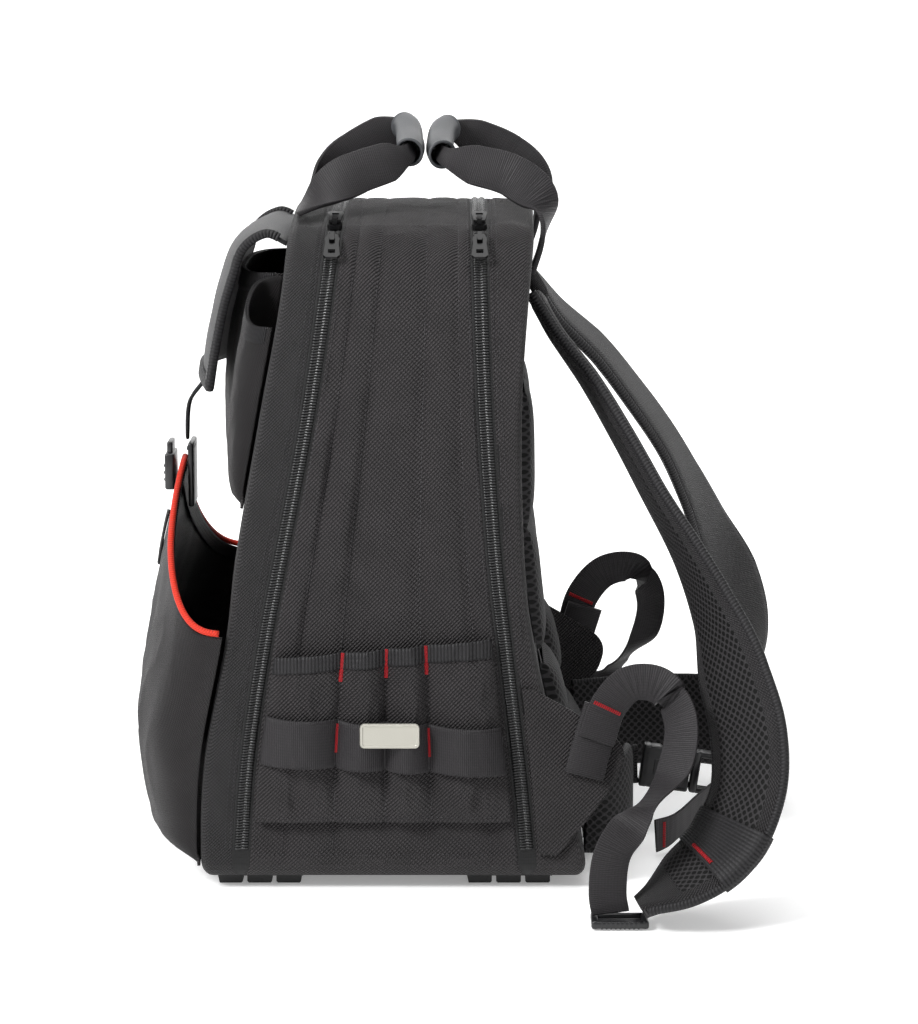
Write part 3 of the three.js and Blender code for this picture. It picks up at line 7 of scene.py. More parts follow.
import bmesh
import bpy
from mathutils import Matrix, Vector, noise
from mathutils.bvhtree import BVHTree


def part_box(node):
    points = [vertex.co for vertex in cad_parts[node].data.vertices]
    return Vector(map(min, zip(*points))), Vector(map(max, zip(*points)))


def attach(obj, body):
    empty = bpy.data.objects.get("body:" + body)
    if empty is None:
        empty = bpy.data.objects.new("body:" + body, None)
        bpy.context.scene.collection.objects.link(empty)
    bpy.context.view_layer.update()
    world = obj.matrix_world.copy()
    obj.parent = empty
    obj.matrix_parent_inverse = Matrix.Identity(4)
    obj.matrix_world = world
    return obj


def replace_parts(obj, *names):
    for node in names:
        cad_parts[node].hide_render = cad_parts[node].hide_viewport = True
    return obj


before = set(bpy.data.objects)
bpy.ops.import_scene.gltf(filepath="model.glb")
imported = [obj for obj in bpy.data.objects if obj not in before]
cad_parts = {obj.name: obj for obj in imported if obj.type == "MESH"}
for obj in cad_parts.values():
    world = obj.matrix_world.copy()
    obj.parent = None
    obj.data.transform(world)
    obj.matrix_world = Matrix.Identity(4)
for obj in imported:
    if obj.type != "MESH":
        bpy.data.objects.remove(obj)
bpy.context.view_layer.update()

# Sizes shared with the CAD, in millimetres
BODY_HEIGHT = 456.0
BODY_DEPTH = 262.0
BASE_WIDTH = 320.0
TOP_WIDTH = 300.0
LOW_CORNER = 16.0
HIGH_CORNER = 60.0
CROWN = 8.0
BODY_FOOT = 7.3
SHOULDER = BODY_HEIGHT - CROWN
ZIP_WIDTH = 12.0
GAP = 0.3
WEBBING = 25.0
MM = 0.001
SIDES = (("right", 1), ("left", -1))

# The CAD is centred on its own box. The front right foot, whose place on the bag is known,
# tells how far the bag moved for it.
FOOT_PLACE = (106.0, -0.523 * BODY_DEPTH - 30.0)
foot_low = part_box("foot_front_right")[0]
SHIFT = Vector((foot_low.x - FOOT_PLACE[0] * MM, foot_low.y - FOOT_PLACE[1] * MM, 0.0))

# The body's four lines seen from the side, as shares of its height and its depth
PROFILE = {
    "height": [0.000, 0.050, 0.200, 0.384, 0.504, 0.713, 0.888, 1.000],
    "front": [-0.660, -0.672, -0.660, -0.599, -0.573, -0.508, -0.452, -0.435],
    "front_zip": [-0.568, -0.566, -0.546, -0.497, -0.456, -0.385, -0.338, -0.315],
    "rear_zip": [0.178, 0.177, 0.153, 0.116, 0.092, 0.067, 0.055, 0.052],
    "back": [0.322, 0.328, 0.261, 0.190, 0.168, 0.160, 0.178, 0.200],
}


def read_table(table, key, column, value):
    keys, values = table[key], table[column]
    row = 1
    while row < len(keys) - 1 and keys[row] < value:
        row += 1
    before, after = max(row - 2, 0), min(row + 1, len(keys) - 1)
    span = keys[row] - keys[row - 1]
    t = min(max((value - keys[row - 1]) / span, 0.0), 1.0)
    slope_low = (values[row] - values[before]) / (keys[row] - keys[before]) * span
    slope_high = (values[after] - values[row - 1]) / (keys[after] - keys[row - 1]) * span
    square, cube = t * t, t * t * t
    return (
        (2 * cube - 3 * square + 1) * values[row - 1]
        + (cube - 2 * square + t) * slope_low
        + (3 * square - 2 * cube) * values[row]
        + (cube - square) * slope_high
    )


def profile_at(column, z):
    return read_table(PROFILE, "height", column, z / BODY_HEIGHT) * BODY_DEPTH


def lerp(a, b, t):
    return a + (b - a) * t


def smooth(t):
    t = min(max(t, 0.0), 1.0)
    return t * t * (3 - 2 * t)


def metres(point):
    return Vector(point) * MM + SHIFT


# Materials

def linear(r, g, b):
    def one(c):
        c /= 255.0
        return c / 12.92 if c <= 0.04045 else ((c + 0.055) / 1.055) ** 2.4

    return (one(r), one(g), one(b), 1.0)


class Shader:
    """Adds nodes to a material and joins them up."""

    def __init__(self, name, colour, roughness, metallic=0.0, shine=0.5):
        self.material = bpy.data.materials.new(name)
        self.material.use_nodes = True
        self.tree = self.material.node_tree
        self.surface = self.tree.nodes["Principled BSDF"]
        self.surface.inputs["Base Color"].default_value = colour
        self.surface.inputs["Roughness"].default_value = roughness
        self.surface.inputs["Metallic"].default_value = metallic
        self.surface.inputs["Specular IOR Level"].default_value = shine
        self.colour = colour

    def node(self, kind, **values):
        node = self.tree.nodes.new(kind)
        for key, value in values.items():
            setattr(node, key, value)
        return node

    def put(self, value, socket):
        if isinstance(value, bpy.types.NodeSocket):
            self.tree.links.new(value, socket)
        else:
            socket.default_value = value

    def math(self, operation, a, b=0.0):
        node = self.node("ShaderNodeMath", operation=operation)
        self.put(a, node.inputs[0])
        self.put(b, node.inputs[1])
        return node.outputs[0]

    def uv(self):
        node = self.node("ShaderNodeUVMap")
        parts = self.node("ShaderNodeSeparateXYZ")
        self.tree.links.new(node.outputs[0], parts.inputs[0])
        return parts.outputs[0], parts.outputs[1]

    def wave(self, value, pitch, offset=0.0):
        turned = self.math("ADD", self.math("MULTIPLY", value, math.pi / pitch), offset)
        return self.math("ABSOLUTE", self.math("SINE", turned))

    def noise(self, scale, detail=3.0):
        place = self.node("ShaderNodeTexCoord")
        node = self.node("ShaderNodeTexNoise")
        node.inputs["Scale"].default_value = scale
        node.inputs["Detail"].default_value = detail
        self.tree.links.new(place.outputs["Object"], node.inputs["Vector"])
        return node.outputs[0]

    def bump(self, height, distance, strength=1.0):
        node = self.node("ShaderNodeBump")
        node.inputs["Distance"].default_value = distance
        node.inputs["Strength"].default_value = strength
        self.put(height, node.inputs["Height"])
        self.tree.links.new(node.outputs[0], self.surface.inputs["Normal"])

    def shade(self, share, low, high):
        """The surface's colour times a number that runs from low to high: painted shade where share is low, a
        painted highlight where it is high.
        """
        node = self.node("ShaderNodeMix", data_type="RGBA", blend_type="MIX")
        self.put(share, node.inputs[0])
        node.inputs[6].default_value = tuple(c * low for c in self.colour[:3]) + (1.0,)
        node.inputs[7].default_value = tuple(min(c * high, 1.0) for c in self.colour[:3]) + (1.0,)
        self.tree.links.new(node.outputs[2], self.surface.inputs["Base Color"])


def weave_material(name, colour, pitch, roughness=0.62, depth=0.00030, low=0.30, high=1.75, sheen=0.03):
    """Cloth woven of threads pitch metres wide, which show as slanting rows, in bumps and in painted
    highlight and shade.
    """
    s = Shader(name, colour, roughness, shine=0.28)
    u, v = s.uv()
    rising = s.math("MULTIPLY", s.math("ADD", u, v), 0.707)
    falling = s.math("MULTIPLY", s.math("SUBTRACT", u, v), 0.707)
    threads = s.math("ADD", s.math("MULTIPLY", s.wave(rising, 1.35 * pitch), 0.6), 0.4)
    height = s.math("MULTIPLY", s.wave(falling, pitch), threads)
    s.bump(height, depth)
    # Painted light: low sets the painted shade in the grooves between threads and high the painted highlight
    # on their crowns; the noise varies it as random tone.
    s.shade(s.math("MULTIPLY", height, s.math("ADD", s.noise(45.0), 0.55)), low, high)
    s.surface.inputs["Sheen Weight"].default_value = sheen
    s.surface.inputs["Sheen Roughness"].default_value = 0.4
    return s.material


def ribbed_material(name, colour, pitch, roughness=0.55, depth=0.0003, low=0.2, high=2.1):
    """Woven tape with ribs across its length: u runs across the tape and v along it."""
    s = Shader(name, colour, roughness, shine=0.3)
    u, v = s.uv()
    threads = s.math("ADD", s.math("MULTIPLY", s.wave(u, 1.6 * pitch), 0.3), 0.7)
    height = s.math("MULTIPLY", s.wave(v, pitch), threads)
    s.bump(height, depth)
    # Painted light: low sets the painted shade in the grooves between ribs and high the painted highlight on
    # their crowns.
    s.shade(height, low, high)
    s.surface.inputs["Sheen Weight"].default_value = 0.02
    return s.material


def mesh_material(name, colour, pitch, roughness=0.7):
    """Air mesh: a net of oval holes in staggered rows, the holes painted near black as the shade seen through
    them.
    """
    s = Shader(name, colour, roughness, shine=0.2)
    u, v = s.uv()
    a = s.math("DIVIDE", s.math("ADD", u, v), 2 * pitch)
    b = s.math("DIVIDE", s.math("SUBTRACT", u, v), 2 * pitch)
    hole = s.math("MULTIPLY", s.wave(a, 1.0), s.wave(b, 1.0))
    open_share = s.math("MULTIPLY", s.math("SUBTRACT", hole, 0.28), 4.0)
    net = s.math("SUBTRACT", 1.0, s.math("MINIMUM", s.math("MAXIMUM", open_share, 0.0), 1.0))
    s.bump(net, 0.0008)
    # Painted shade: the holes are painted near black for the shade seen through them, and the net between
    # them is drawn lighter.
    s.shade(net, 0.05, 1.9)
    return s.material


def plain_material(name, colour, roughness, metallic=0.0, grain=0.0, coat=0.0, shine=0.5):
    s = Shader(name, colour, roughness, metallic, shine)
    if grain:
        s.bump(s.noise(1400.0, 2.0), grain)
    s.surface.inputs["Coat Weight"].default_value = coat
    return s.material


# In the woven and ribbed materials, low and high set how dark the painted shade and how bright the painted
# highlight on their threads and ribs are.
MATERIALS = {
    "body": weave_material("body_fabric", linear(23, 21, 22), 0.0019, depth=0.0011, low=0.0, high=3.6),
    "strip": weave_material("strip_fabric", linear(21, 20, 21), 0.0015, depth=0.0009, low=0.0, high=3.3),
    "pocket": weave_material("pocket_fabric", linear(20, 18, 19), 0.0015, roughness=0.55, depth=0.0008,
                             low=0.05, high=3.1),
    "flap": plain_material("flap_skin", linear(19, 19, 21), 0.5, grain=0.00012, shine=0.3),
    "webbing": ribbed_material("webbing_weave", linear(26, 24, 26), 0.0013, depth=0.0003, low=0.25, high=2.0),
    "grosgrain": ribbed_material("grosgrain", linear(17, 16, 18), 0.0024, depth=0.0005),
    # The zip tape is near black: its own dark colour, and also painted shade for the recess beside the coil.
    "tape": ribbed_material("zip_tape_with_recess_shade", linear(9, 9, 10), 0.0011, depth=0.00015),
    "mesh": mesh_material("air_mesh", linear(30, 29, 30), 0.0029),
    "coil": plain_material("zip_coil", linear(14, 14, 15), 0.3, coat=0.2),
    "slider": plain_material("slider_metal", linear(9, 9, 10), 0.3, shine=0.22),
    "rubber": plain_material("foot_rubber", linear(20, 20, 21), 0.6, grain=0.0001),
    "sleeve": plain_material("sleeve_rubber", linear(52, 54, 57), 0.5, grain=0.00008),
    "plastic": plain_material("buckle_plastic", linear(24, 24, 26), 0.34, grain=0.00005),
    "plate": plain_material("plate_metal", linear(168, 166, 157), 0.42, metallic=0.55, grain=0.00008),
    "piping": weave_material("piping_cord", linear(205, 46, 24), 0.0013, roughness=0.6, low=0.55, high=1.05),
    "red": weave_material("red_thread", linear(160, 12, 24), 0.0006, roughness=0.6, low=0.5, high=1.1),
    "thread": plain_material("stitch_thread", linear(38, 37, 40), 0.5),
    "elastic": weave_material("elastic_cord", linear(22, 22, 24), 0.0007),
}


# Meshes

def strip_faces(rows, size, closed=False, flip=False, base=0):
    """Quads between rows of size points; closed joins each row's last point to its first."""
    faces = []
    for low in range(base, base + (rows - 1) * size, size):
        for i in range(size if closed else size - 1):
            j = (i + 1) % size
            quad = (low + i, low + j, low + size + j, low + size + i)
            faces.append(quad[::-1] if flip else quad)
    return faces


def end_caps(rows, size):
    """The faces that close a skin's first and last row."""
    last = (rows - 1) * size
    return [tuple(range(size))[::-1], tuple(range(last, last + size))]


def add_mesh(name, points, faces, material, uvs=None, replaces=()):
    """A piece of the bag from points in metres; uvs holds one pair in metres for each point."""
    mesh = bpy.data.meshes.new(name)
    mesh.from_pydata([tuple(p) for p in points], [], faces)
    mesh.update()
    if uvs is not None:
        layer = mesh.uv_layers.new(name="UVMap")
        for loop in mesh.loops:
            layer.data[loop.index].uv = uvs[loop.vertex_index]
    mesh.materials.append(MATERIALS[material])
    for polygon in mesh.polygons:
        polygon.use_smooth = True
    piece = bpy.data.objects.new(name, mesh)
    bpy.context.scene.collection.objects.link(piece)
    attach(piece, "bag")
    if replaces:
        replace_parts(piece, *replaces)
    return piece


def apply_modifiers(piece):
    depsgraph = bpy.context.evaluated_depsgraph_get()
    mesh = bpy.data.meshes.new_from_object(piece.evaluated_get(depsgraph))
    piece.modifiers.clear()
    piece.data = mesh
    return piece


def thicken(piece, thickness):
    """Gives a skin its thickness, behind its face."""
    solid = piece.modifiers.new("thickness", "SOLIDIFY")
    solid.thickness = thickness * MM
    solid.offset = -1.0
    return apply_modifiers(piece)


def outward(piece):
    """Turns all faces of a piece to the outside."""
    mesh = bmesh.new()
    mesh.from_mesh(piece.data)
    bmesh.ops.recalc_face_normals(mesh, faces=mesh.faces)
    mesh.to_mesh(piece.data)
    mesh.free()
    return piece


def sheet(name, surface, across, up, thickness, side, material, uv=None, replaces=()):
    """Cloth laid over surface(u, v), with its thickness behind it."""
    points, uvs = [], []
    for j in range(up + 1):
        for i in range(across + 1):
            u, v = i / across, j / up
            point = Vector(surface(u, v))
            points.append(metres(point))
            uvs.append(uv(u, v, point) if uv else (point.y * MM, point.z * MM))
    faces = strip_faces(up + 1, across + 1, flip=side < 0)
    return thicken(add_mesh(name, points, faces, material, uvs, replaces), thickness)


def catmull(points, t):
    """A point on a centripetal curve through points, as in the CAD."""
    count = len(points)
    p = (count - 1) * min(max(t, 0.0), 1.0)
    row = int(math.floor(p))
    share = p - row
    if share < 1e-12 and row == count - 1:
        row, share = count - 2, 1.0
    p1, p2 = points[row], points[row + 1]
    p0 = points[row - 1] if row > 0 else 2 * points[0] - points[1]
    p3 = points[row + 2] if row + 2 < count else 2 * points[-1] - points[-2]
    d = [math.sqrt((b - a).length) for a, b in ((p0, p1), (p1, p2), (p2, p3))]
    d1 = d[1] if d[1] > 1e-4 else 1.0
    d0 = d[0] if d[0] > 1e-4 else d1
    d2 = d[2] if d[2] > 1e-4 else d1
    t1 = ((p1 - p0) / d0 - (p2 - p0) / (d0 + d1) + (p2 - p1) / d1) * d1
    t2 = ((p2 - p1) / d1 - (p3 - p1) / (d1 + d2) + (p3 - p2) / d2) * d1
    c2 = -3 * p1 + 3 * p2 - 2 * t1 - t2
    c3 = 2 * p1 - 2 * p2 + t1 + t2
    return p1 + t1 * share + c2 * share ** 2 + c3 * share ** 3


class Route:
    """A strap's way through space, in millimetres: rows of x, y, z, above, lean, width and thick,
    where x, y and z are shares of half the base width, the depth and the height."""

    def __init__(self, rows, mirror=1.0):
        self.places = [Vector((mirror * r[0] * BASE_WIDTH / 2, r[1] * BODY_DEPTH, r[2] * BODY_HEIGHT + r[3]))
                       for r in rows]
        self.leans = [Vector((mirror * r[4][0], r[4][1], r[4][2])) for r in rows]
        self.scales = [Vector((r[5] if len(r) > 5 else 1.0, r[6] if len(r) > 6 else 1.0, 0)) for r in rows]

    def at(self, t):
        place = catmull(self.places, t)
        along = (catmull(self.places, min(t + 1e-4, 1)) - catmull(self.places, max(t - 1e-4, 0))).normalized()
        lean = catmull(self.leans, t)
        across = (lean - along * lean.dot(along)).normalized()
        return place, along, across, along.cross(across), catmull(self.scales, t)

    def frames(self, steps, start=0.0, end=1.0):
        return [self.at(lerp(start, end, k / steps)) for k in range(steps + 1)]


def loft(name, frames, section, material, width, thickness, replaces=(), caps=True, shape=None, closed=True):
    """A skin over sections set on frames. shape(k, a, b) moves a section's point."""
    points, uvs = [], []
    length = 0.0
    before = frames[0][0]
    for k, (place, _, across, face, scale) in enumerate(frames):
        length += (place - before).length
        before = place
        for a, b in section:
            uvs.append((a * width * MM, length * MM))
            if shape:
                a, b = shape(k, a, b)
            points.append(metres(place + across * (a * width * scale.x) + face * (b * thickness * scale.y)))
    faces = strip_faces(len(frames), len(section), closed)
    if caps and closed:
        faces += end_caps(len(frames), len(section))
    return outward(add_mesh(name, points, faces, material, uvs, replaces))


def round_section(corner, ratio, steps=3):
    """A flat section's outline, 1 wide and 1 thick, with rounded corners; ratio is width over thickness."""
    points = []
    for cx, cy, start in ((0.5, -0.5, -90), (0.5, 0.5, 0), (-0.5, 0.5, 90), (-0.5, -0.5, 180)):
        for k in range(steps + 1):
            angle = math.radians(start + 90 * k / steps)
            points.append((cx - math.copysign(corner / ratio, cx) + corner / ratio * math.cos(angle),
                           cy - math.copysign(corner, cy) + corner * math.sin(angle)))
    return points


FLAT = round_section(0.4, 14.0)


def circle(count):
    turns = [2 * math.pi * i / count for i in range(count)]
    return [(0.5 * math.cos(turn), 0.5 * math.sin(turn)) for turn in turns]


def path_frames(points, up):
    """Frames along a line of points, whose face turns to up as far as the line lets it."""
    frames = []
    for k, point in enumerate(points):
        ahead = points[min(k + 1, len(points) - 1)]
        behind = points[max(k - 1, 0)]
        along = (ahead - behind).normalized()
        face = Vector(up)
        face = (face - along * face.dot(along)).normalized()
        frames.append((point, along, face.cross(along), face, Vector((1, 1, 0))))
    return frames


def join(name, pieces):
    """Several pieces become one mesh object, which keeps the first one's body and slot."""
    first = pieces[0]
    for p in pieces:
        p.select_set(True)
    bpy.context.view_layer.objects.active = first
    with bpy.context.temp_override(active_object=first, selected_objects=pieces,
                                   selected_editable_objects=pieces):
        bpy.ops.object.join()
    first.select_set(False)
    first.name = name
    return first


# The straps' ways, as in the CAD: x, y and z are shares of half the base width, the depth and the height,
# then millimetres above, the direction across the strap, and shares of its width and thickness
ROUTES = {
    "front_handle": [
        (0.455, -0.42, 0.9947, 0, (1, 0, 0), 0.9, 1.0),
        (0.45, -0.39, 1.01, 0, (0.9, 0.2, -0.2), 0.95, 1.0),
        (0.435, -0.33, 1.037, 0, (0.4, 0.5, -0.6)),
        (0.41, -0.26, 1.056, 0, (0.1, 0.6, -0.8)),
        (0.38, -0.185, 1.07, 0, (0, 0.7, -0.7), 0.95, 1.0),
        (0.33, -0.138, 1.08, 0, (0, 0.5, -0.8), 0.45, 1.0),
        (0, -0.132, 1.094, 0, (0, 0.3, -0.9), 0.45, 1.0),
        (-0.33, -0.156, 1.108, 0, (0, 0.5, -0.8), 0.45, 1.0),
        (-0.38, -0.21, 1.094, 0, (0, 0.7, -0.7), 0.95, 1.0),
        (-0.41, -0.285, 1.068, 0, (-0.1, 0.6, -0.8)),
        (-0.435, -0.345, 1.04, 0, (-0.4, 0.5, -0.6)),
        (-0.45, -0.392, 1.011, 0, (-0.9, 0.2, -0.2), 0.95, 1.0),
        (-0.455, -0.42, 0.9947, 0, (-1, 0, 0), 0.9, 1.0),
    ],
    "rear_handle": [
        (0.5, 0.19, 0.908, 0, (1, 0, 0), 0.9, 1.0),
        (0.5, 0.215, 0.955, 0, (1, 0, 0.1), 0.95, 1.0),
        (0.48, 0.22, 1.01, 0, (0.7, -0.4, -0.5)),
        (0.44, 0.14, 1.05, 0, (0.1, -0.6, -0.8)),
        (0.39, 0.04, 1.066, 0, (0, -0.7, -0.7), 0.95, 1.0),
        (0.33, -0.032, 1.076, 0, (0, -0.5, -0.8), 0.45, 1.0),
        (0, -0.05, 1.09, 0, (0, -0.3, -0.9), 0.45, 1.0),
        (-0.33, -0.024, 1.104, 0, (0, -0.5, -0.8), 0.45, 1.0),
        (-0.39, 0.048, 1.088, 0, (0, -0.7, -0.7), 0.95, 1.0),
        (-0.44, 0.145, 1.06, 0, (-0.1, -0.6, -0.8)),
        (-0.48, 0.22, 1.012, 0, (-0.7, -0.4, -0.5)),
        (-0.5, 0.215, 0.955, 0, (-1, 0, 0.1), 0.95, 1.0),
        (-0.5, 0.19, 0.908, 0, (-1, 0, 0), 0.9, 1.0),
    ],
    "right_strap": [
        (0.325, 0.206, 0.862, 0, (1, 0, 0)),
        (0.37, 0.252, 0.815, 0, (1, 0.05, 0.05)),
        (0.48, 0.347, 0.74, 0, (0.98, 0.10, 0.10)),
        (0.6, 0.428, 0.665, 0, (0.98, 0.12, 0.12)),
        (0.74, 0.512, 0.58, 0, (0.97, 0.14, 0.14)),
        (0.88, 0.588, 0.505, 0, (0.94, 0.20, 0.20)),
        (1.02, 0.652, 0.425, 0, (0.88, 0.34, 0.26)),
        (1.15, 0.695, 0.345, 0, (0.75, 0.6, 0.25)),
        (1.26, 0.73, 0.265, 0, (0.7, 0.65, 0.2)),
        (1.35, 0.725, 0.185, 0, (0.7, 0.6, 0.1)),
        (1.41, 0.66, 0.085, 12, (0.8, 0.4, -0.2)),
        (1.45, 0.56, 0.035, 14, (0.85, 0.1, -0.3), 0.9, 1.0),
        (1.47, 0.455, 0, 12.4, (1, 0, 0), 0.5, 1.0),
    ],
    "left_strap": [
        (0.325, 0.2085, 0.862, 0, (1, 0, 0)),
        (0.38, 0.272, 0.815, 0, (1, 0.05, 0.05)),
        (0.48, 0.394, 0.745, 0, (0.98, 0.10, 0.10)),
        (0.58, 0.494, 0.67, 0, (0.98, 0.12, 0.12)),
        (0.7, 0.588, 0.59, 0, (0.97, 0.14, 0.14)),
        (0.82, 0.665, 0.505, 0, (0.94, 0.20, 0.20)),
        (0.96, 0.738, 0.41, 0, (0.88, 0.34, 0.26)),
        (1.1, 0.81, 0.31, 0, (0.75, 0.6, 0.25)),
        (1.23, 0.845, 0.215, 0, (0.7, 0.65, 0.2)),
        (1.34, 0.83, 0.11, 8, (0.75, 0.5, 0)),
        (1.41, 0.74, 0.04, 12, (0.9, 0.2, -0.1)),
        (1.45, 0.61, 0.01, 14, (0.98, 0, -0.05), 0.9, 1.0),
        (1.47, 0.5, 0, 12.4, (1, 0, 0), 0.5, 1.0),
    ],
    "right_webbing": [
        (1.0415, 0.352, 0.235, 0, (0, 0.9, -0.4)),
        (1.0395, 0.385, 0.29, 0, (0, 0.9, -0.4)),
        (1.07, 0.44, 0.325, 0, (0.1, 0.7, -0.7)),
        (1.13, 0.515, 0.325, 0, (0.4, 0.3, -0.9)),
        (1.22, 0.56, 0.285, 0, (0.3, 0.7, 0.4)),
        (1.34, 0.54, 0.22, 0, (0, 0.8, 0.5)),
        (1.47, 0.45, 0.165, 0, (-0.1, 0.7, 0.6)),
        (1.51, 0.385, 0.115, 0, (-0.1, 0.95, 0.2)),
        (1.49, 0.372, 0.05, 0, (0, 1, 0)),
        (1.47, 0.38, 0, 8.7, (0, 1, 0)),
    ],
    "left_webbing": [
        (1.038, 0.335, 0.24, 0, (0, 0.9, -0.4)),
        (1.036, 0.365, 0.3, 0, (0, 0.9, -0.4)),
        (1.06, 0.43, 0.34, 0, (0.1, 0.7, -0.7)),
        (1.11, 0.515, 0.342, 0, (0.4, 0.3, -0.9)),
        (1.19, 0.57, 0.29, 0, (0.3, 0.7, 0.4)),
        (1.29, 0.555, 0.21, 0, (0, 0.8, 0.5)),
        (1.42, 0.48, 0.15, 0, (-0.1, 0.7, 0.6)),
        (1.5, 0.42, 0.1, 0, (-0.1, 0.95, 0.2)),
        (1.49, 0.415, 0.045, 0, (0, 1, 0)),
        (1.47, 0.425, 0, 9.5, (0, 1, 0)),
    ],
    "tab_fold": [
        (1.0212, 0.322, 0.18, 0, (0, 0.9, -0.4)),
        (1.0171, 0.345, 0.232, 0, (0, 0.9, -0.4)),
        (1.0128, 0.372, 0.284, 0, (0, 0.9, -0.4)),
    ],
    "right_belt": [
        (0.7, 0.336, 0.105, 0, (0, 0, 1)),
        (0.69, 0.385, 0.104, 0, (0, 0, 1)),
        (0.6, 0.43, 0.102, 0, (0, 0, 1)),
        (0.44, 0.452, 0.1, 0, (0, 0, 1)),
        (0.28, 0.455, 0.1, 0, (0, 0, 1), 0.7, 0.8),
        (0.14, 0.452, 0.102, 0, (0, 0, 1), 0.42, 0.3),
        (0.06, 0.463, 0.105, 0, (0, 0, 1), 0.38, 0.25),
        (0.03, 0.492, 0.106, 0, (0, 0, 1), 0.38, 0.25),
    ],
    "left_belt": [
        (0.7, 0.329, 0.105, 0, (0, 0, 1)),
        (0.76, 0.5, 0.108, 0, (0, 0, 1)),
        (0.74, 0.68, 0.112, 0, (0, 0, 1)),
        (0.6, 0.82, 0.115, 0, (0, 0, 1)),
        (0.38, 0.885, 0.115, 0, (0, 0, 1), 0.9, 1.0),
        (0.18, 0.885, 0.112, 0, (0, 0, 1), 0.6, 0.6),
    ],
    "belt_webbing": [
        (-0.163, 0.885, 0.112, 0, (0, 0, 1)),
        (-0.05, 0.87, 0.104, 0, (0, 0, 1)),
        (0.03, 0.8176, 0.096, 0, (0, 0, 1)),
        (0.05, 0.7603, 0.09, 0, (0, 0, 1)),
        (0.1, 0.745, 0.086, 0, (0, 0, 1)),
        (0.2, 0.71, 0.076, 0, (0, 0.2, 1)),
        (0.32, 0.64, 0.056, 0, (0, 0.3, 1)),
        (0.43, 0.57, 0.036, 0, (0, 0.3, 1)),
        (0.48, 0.53, 0.032, 0, (0, 0.1, 1)),
    ],
}


# Soft forms

def folds(point, size, depth, seed=0.0, stretch=(1.0, 1.0, 1.0)):
    """How far soft cloth rises at a point, in millimetres: broad swells with a few sharper creases."""
    place = Vector((point[0] * stretch[0], point[1] * stretch[1], point[2] * stretch[2])) / size
    place += Vector((seed, 2 * seed, 3 * seed))
    broad = noise.noise(place)
    crease = 1.0 - 2.0 * abs(noise.noise(place * 1.9 + Vector((7, 3, 5))))
    return depth * (0.65 * broad + 0.35 * crease)


def arc(x, z, radius, start, end, steps):
    return [(x + radius * math.cos(math.radians(lerp(start, end, i / steps))),
             z + radius * math.sin(math.radians(lerp(start, end, i / steps)))) for i in range(steps + 1)]


LOW_STEPS, SIDE_STEPS, HIGH_STEPS, TOP_STEPS, FLOOR_STEPS = 5, 74, 20, 20, 16


def half_arch(inset):
    """The right half of the body's outline seen from the front, from its bottom corner to the crown."""
    base, top = BASE_WIDTH / 2 - inset, TOP_WIDTH / 2 - inset
    low, high = LOW_CORNER - inset, HIGH_CORNER - inset
    line = arc(base - low, BODY_FOOT + LOW_CORNER, low, -90, 0, LOW_STEPS)
    for i in range(1, SIDE_STEPS):
        t = i / SIDE_STEPS
        line.append((lerp(base, top, t), lerp(BODY_FOOT + LOW_CORNER, SHOULDER - HIGH_CORNER, t)))
    line += arc(top - high, SHOULDER - HIGH_CORNER, high, 0, 90, HIGH_STEPS)
    for i in range(1, TOP_STEPS + 1):
        t = i / TOP_STEPS
        line.append(((top - high) * (1 - t), SHOULDER - inset + CROWN * (1 - (1 - t) ** 2)))
    return line


def arch(inset):
    """The whole outline but for its bottom, from the right bottom corner over the top to the left one."""
    right = half_arch(inset)
    return right + [(-x, z) for x, z in right[-2::-1]]


def outline(inset):
    """The closed outline with its level bottom."""
    line = arch(inset)
    (x0, z0), (x1, z1) = line[-1], line[0]
    shares = [i / FLOOR_STEPS for i in range(1, FLOOR_STEPS)]
    return line + [(lerp(x0, x1, t), lerp(z0, z1, t)) for t in shares]


def lengths(line):
    total = [0.0]
    for a, b in zip(line, line[1:]):
        total.append(total[-1] + math.dist(a, b))
    return total


def normals(line, closed=True):
    """Outward directions of an outline, in the plane of x and z."""
    result = []
    count = len(line)
    for i in range(count):
        a = line[(i - 1) % count if closed else max(i - 1, 0)]
        b = line[(i + 1) % count if closed else min(i + 1, count - 1)]
        dx, dz = b[0] - a[0], b[1] - a[1]
        size = math.hypot(dx, dz) or 1.0
        result.append((dz / size, -dx / size))
    return result


PANEL_EDGE = 6.0       # radius of the edge between a panel and its wall
HEM = 2.4              # how deep cloth turns in at a zip
STILL_FOOT = BODY_FOOT + 12.0  # cloth below this height lies without folds
FOOT_DROP = 1.0        # how far cloth may hang under the body's foot
SEAM_HALF = 1.3        # half the room of a zip where it ends in a seam
EDGE_STEPS, WALL_STEPS, CHANNEL_STEPS = 4, 16, 8


def band(name, rings, material, replaces=()):
    """A band round the body. Each ring is an inset, a depth from the height, and a lift from a point."""
    points, uvs = [], []
    for inset, depth, lift in rings:
        line = outline(inset)
        for (x, z), (nx, nz), along in zip(line, normals(line), lengths(line)):
            y = depth(z)
            rise = lift(x, y, z) if lift else 0.0
            points.append(metres((x + nx * rise, y, max(z + nz * rise, BODY_FOOT - FOOT_DROP))))
            uvs.append((y * MM, along * MM))
    faces = strip_faces(len(rings), len(line), closed=True)
    return outward(add_mesh(name, points, faces, material, uvs, replaces))


def open_half(z):
    """Half the room left for a zip, which narrows to a sewn seam under the body."""
    return lerp(SEAM_HALF, ZIP_WIDTH / 2, smooth((z - BODY_FOOT) / 10))


def beside(column, way, off=0.0):
    """The depth, from the height, of a line off millimetres outside a zip's opening."""
    return lambda z: profile_at(column, z) + way * (open_half(z) + off)


